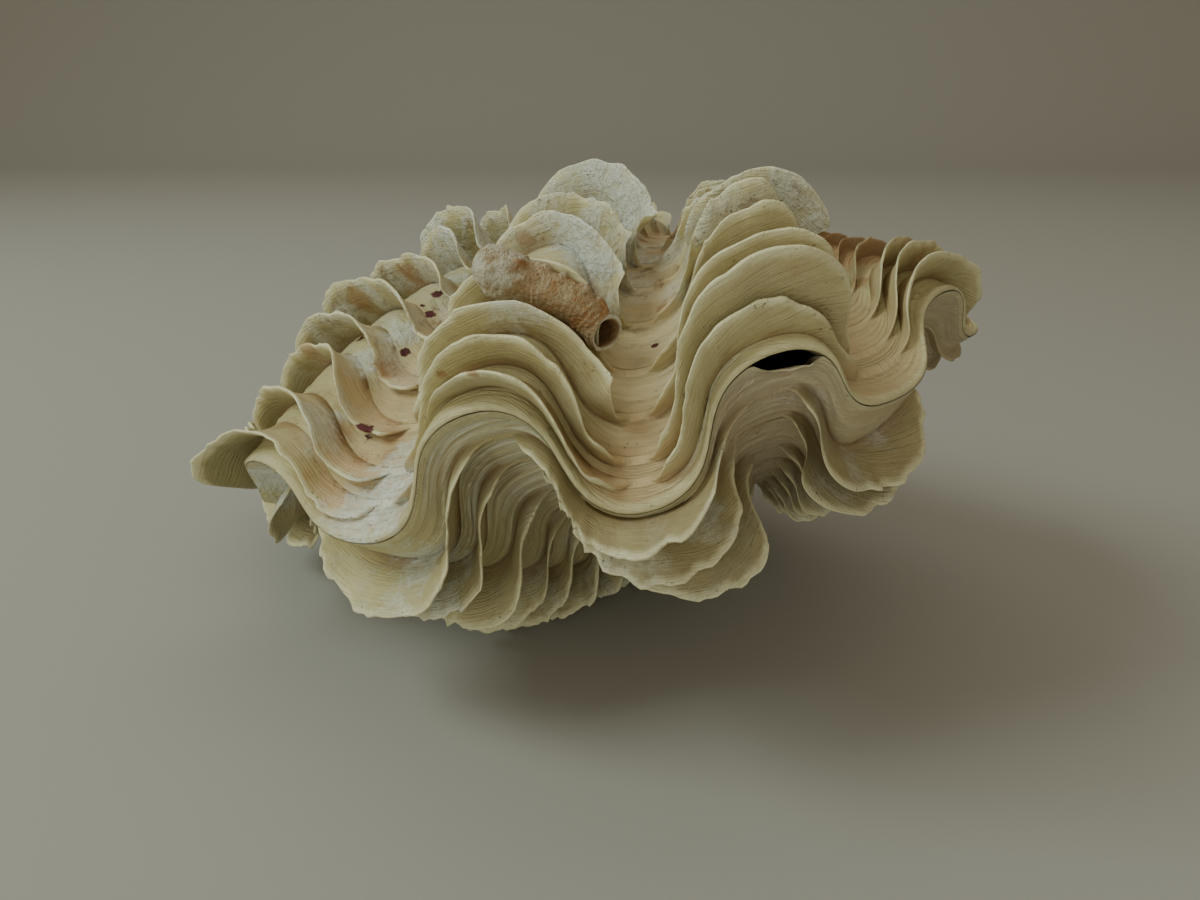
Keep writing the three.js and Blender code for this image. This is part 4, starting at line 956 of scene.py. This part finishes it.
def tube():
    ring_n, side_n = 96, 56
    x = np.linspace(0, len(TUBE_PATH) - 1, ring_n)
    su, sh, sg = (spline(np.arange(len(TUBE_PATH)), [p[c] for p in TUBE_PATH])(x) for c in range(3))
    P, T, N, F, rate = face(sg, su, 1)
    up = unit(N * 0.5 + F * 0.5)
    C = P + up * sh[:, None]
    course = unit(np.gradient(C, axis=0))
    T = unit(T - course * np.sum(T * course, 1)[:, None])       # rings stand square to the tube's course
    side_up = unit(np.cross(course, T))
    up = side_up * np.sign(np.sum(side_up * up, 1))[:, None]
    t = np.linspace(0, 1, ring_n)
    along = np.concatenate([[0], np.cumsum(np.linalg.norm(np.diff(C, axis=0), axis=1))])
    taper = np.clip(t / 0.10, 0, 1) ** 0.5 * (1 + 0.30 * smooth(0.40, 0.12, t)) * (1 - 0.10 * smooth(0.6, 1.0, t))
    a = np.linspace(0, 2 * np.pi, side_n, endpoint=False)
    V, ridge, rim, inside, course_at = [], [], [], [], []
    for i in range(ring_n):
        slant = along[i] + 1.1 * np.sin(a * 1.0 + 0.6) + 0.9 * fbm2(np.full_like(a, along[i] / 6), np.sin(a) * 1.4, 37, 2)
        rib = (0.5 + 0.5 * np.cos(2 * np.pi * slant / 1.9)) * np.clip(0.55 + 1.2 * fbm2(np.full_like(a, along[i] / 3.1), np.cos(a) * 1.7 + 3, 39, 2), 0.05, 1.2)
        rib = rib * smooth(0.10, 0.34, t[i])
        knob = np.clip(0.35 + 1.1 * noise1(np.full_like(a, along[i] / 2.1), 35), 0, 1.2)
        keel = np.exp(-((a - 1.95) / 0.26) ** 2) * (0.07 + 0.20 * knob) * smooth(0.22, 0.42, t[i])
        lump = 1 + 0.13 * fbm2(np.cos(a) * 1.3 + 3, np.full_like(a, along[i] / 6) + np.sin(a), 31, 3)
        rr = (0.95 + 0.055 * rib) * lump + keel + 0.05 * fbm2(np.cos(a) * 4 + along[i] / 2.3, np.sin(a) * 4, 33, 2)
        k = taper[i]
        crusty = 0.10 * fbm2(np.cos(a) * 2.2 + along[i] / 3.5, np.sin(a) * 2.2 + 5, 41, 3) * smooth(0.45, 0.2, t[i])
        rr = rr + crusty
        cut = -SLANT * np.cos(a - 0.3) * smooth(0.80, 1.0, t[i])
        V.append(C[i] + T[i] * (TUBE_HALF[0] * k * rr * np.cos(a))[:, None] + up[i] * (TUBE_HALF[1] * k * rr * np.sin(a))[:, None] + course[i] * cut[:, None])
        ridge.append(rib + knob * np.exp(-((a - 1.95) / 0.3) ** 2))
        rim.append(np.full(side_n, 1.0 if i >= ring_n - 2 else 0.0))
        inside.append(np.zeros(side_n))
        course_at.append(np.full(side_n, t[i]))
    end, dirn = C[-1], unit(C[-1] - C[-3])
    for d, s in ((0.35, 0.93), (0.3, 0.8), (-0.6, 0.70), (-2.5, 0.66), (-5, 0.64), (-8.5, 0.62), (-11.5, 0.55)):
        wob = 1 + 0.03 * noise1(a * 5, 8)
        cut = -SLANT * np.cos(a - 0.3)
        V.append(end + dirn * (d + cut)[:, None] + T[-1] * (TUBE_HALF[0] * taper[-1] * s * wob * np.cos(a))[:, None] + up[-1] * (TUBE_HALF[1] * taper[-1] * s * wob * np.sin(a))[:, None])
        ridge.append(np.ones(side_n))
        rim.append(np.full(side_n, 1.0 if d > 0 else 0.0))
        # mask for the painted shade inside the bore, darker deeper in
        inside.append(np.full(side_n, 0.0 if d > 0 else min(1.0, 0.35 - d / 4)))
        course_at.append(np.ones(side_n))
    V = np.array(V)
    m = len(V)
    faces = []
    for i in range(m - 1):
        for q in range(side_n):
            b = i * side_n + q
            c = i * side_n + (q + 1) % side_n
            faces.append((b, b + side_n, c + side_n, c))
    pts = V.reshape(-1, 3)
    pts = np.concatenate([pts, [C[0], V[-1].mean(0)]])
    s = m * side_n
    for q in range(side_n):
        faces.append((s, q, (q + 1) % side_n))
        faces.append((s + 1, (m - 1) * side_n + (q + 1) % side_n, (m - 1) * side_n + q))
    vals = {"ridge": np.concatenate([np.concatenate(ridge), [1, 1]]), "rim": np.concatenate([np.concatenate(rim), [0, 0]]),
            "inside": np.concatenate([np.concatenate(inside), [0, 1]]), "course": np.concatenate([np.concatenate(course_at), [0, 1]])}
    return pts, faces, vals


# ---- build -------------------------------------------------------------------------
def settle(P):
    """The scales that the shell lies on are worn flat."""
    P[:, 2] = np.maximum(P[:, 2], 0.0)
    return P


V, polys, values = valve(1, SCALES_UPPER)
upper_piece = make("upper_shell_piece", lie(V), polys, values, "upper_valve")
upper_piece.data.materials.append(upper_material())
V, polys, values = valve(-1, SCALES_LOWER)
lower_piece = make("lower_shell_piece", settle(lie(V)), polys, values, "lower_valve")
lower_piece.data.materials.append(lower_material())
V, polys, values = tube()
tube_piece = make("tube_piece", lie(V), polys, values, "worm_tube")
tube_piece.data.materials.append(tube_material())
for o in (upper_piece, lower_piece, tube_piece):
    print("piece", o.name, "triangles", sum(len(p.vertices) - 2 for p in o.data.polygons))

# ---- floor, light, camera ----------------------------------------------------------
me = bpy.data.meshes.new("floor")
sweep = [(-9.0, 0.0), (1.6, 0.0)] + [(1.6 + 0.9 * math.sin(t), 0.9 - 0.9 * math.cos(t)) for t in np.linspace(0.1, math.pi / 2, 15)] + [(2.5, 5.0)]
me.from_pydata([(x, y, z) for y, z in sweep for x in (-9.0, 9.0)], [], [(2 * i, 2 * i + 1, 2 * i + 3, 2 * i + 2) for i in range(len(sweep) - 1)])
me.polygons.foreach_set("use_smooth", [True] * len(me.polygons))
floor = bpy.data.objects.new("floor", me)
bpy.context.scene.collection.objects.link(floor)
n = Nodes("floor")
n.bsdf.inputs["Base Color"].default_value = (0.385, 0.375, 0.335, 1)
n.bsdf.inputs["Roughness"].default_value = 0.75
n.bsdf.inputs["Specular IOR Level"].default_value = 0.2
floor.data.materials.append(n.mat)

world = bpy.data.worlds.new("studio")
bpy.context.scene.world = world
world.use_nodes = True
bg = world.node_tree.nodes["Background"]
bg.inputs["Color"].default_value = (1.0, 0.90, 0.70, 1)
bg.inputs["Strength"].default_value = 0.36


def area(name, at, look, size, power, colour):
    d = bpy.data.lights.new(name, "AREA")
    d.shape = "RECTANGLE"
    d.size, d.size_y = size
    d.energy = power
    d.color = colour
    o = bpy.data.objects.new(name, d)
    o.location = at
    o.rotation_mode = "QUATERNION"
    o.rotation_quaternion = (Vector(look) - Vector(at)).to_track_quat("-Z", "Y")
    bpy.context.scene.collection.objects.link(o)


area("window", (-1.15, -0.15, 1.25), (0, 0.0, 0.06), (0.8, 0.8), 14.5, (0.86, 1.0, 0.96))
area("ceiling", (0.1, 0.75, 1.6), (0, 0, 0.05), (1.8, 1.0), 4.5, (1.0, 0.97, 0.88))
area("room", (-0.50, -1.45, 0.36), (-0.02, 0, 0.05), (1.7, 0.7), 5.8, (0.95, 1.0, 0.90))

cam = bpy.data.cameras.new("camera")
cam.sensor_width = 36
cam.lens = 28.5
cam.clip_start = 0.01
camera = bpy.data.objects.new("camera", cam)
camera.location = (0.0052, -0.33395, 0.190)
camera.rotation_euler = (math.radians(90 - 22.1), 0, 0)
bpy.context.scene.collection.objects.link(camera)
bpy.context.scene.camera = camera
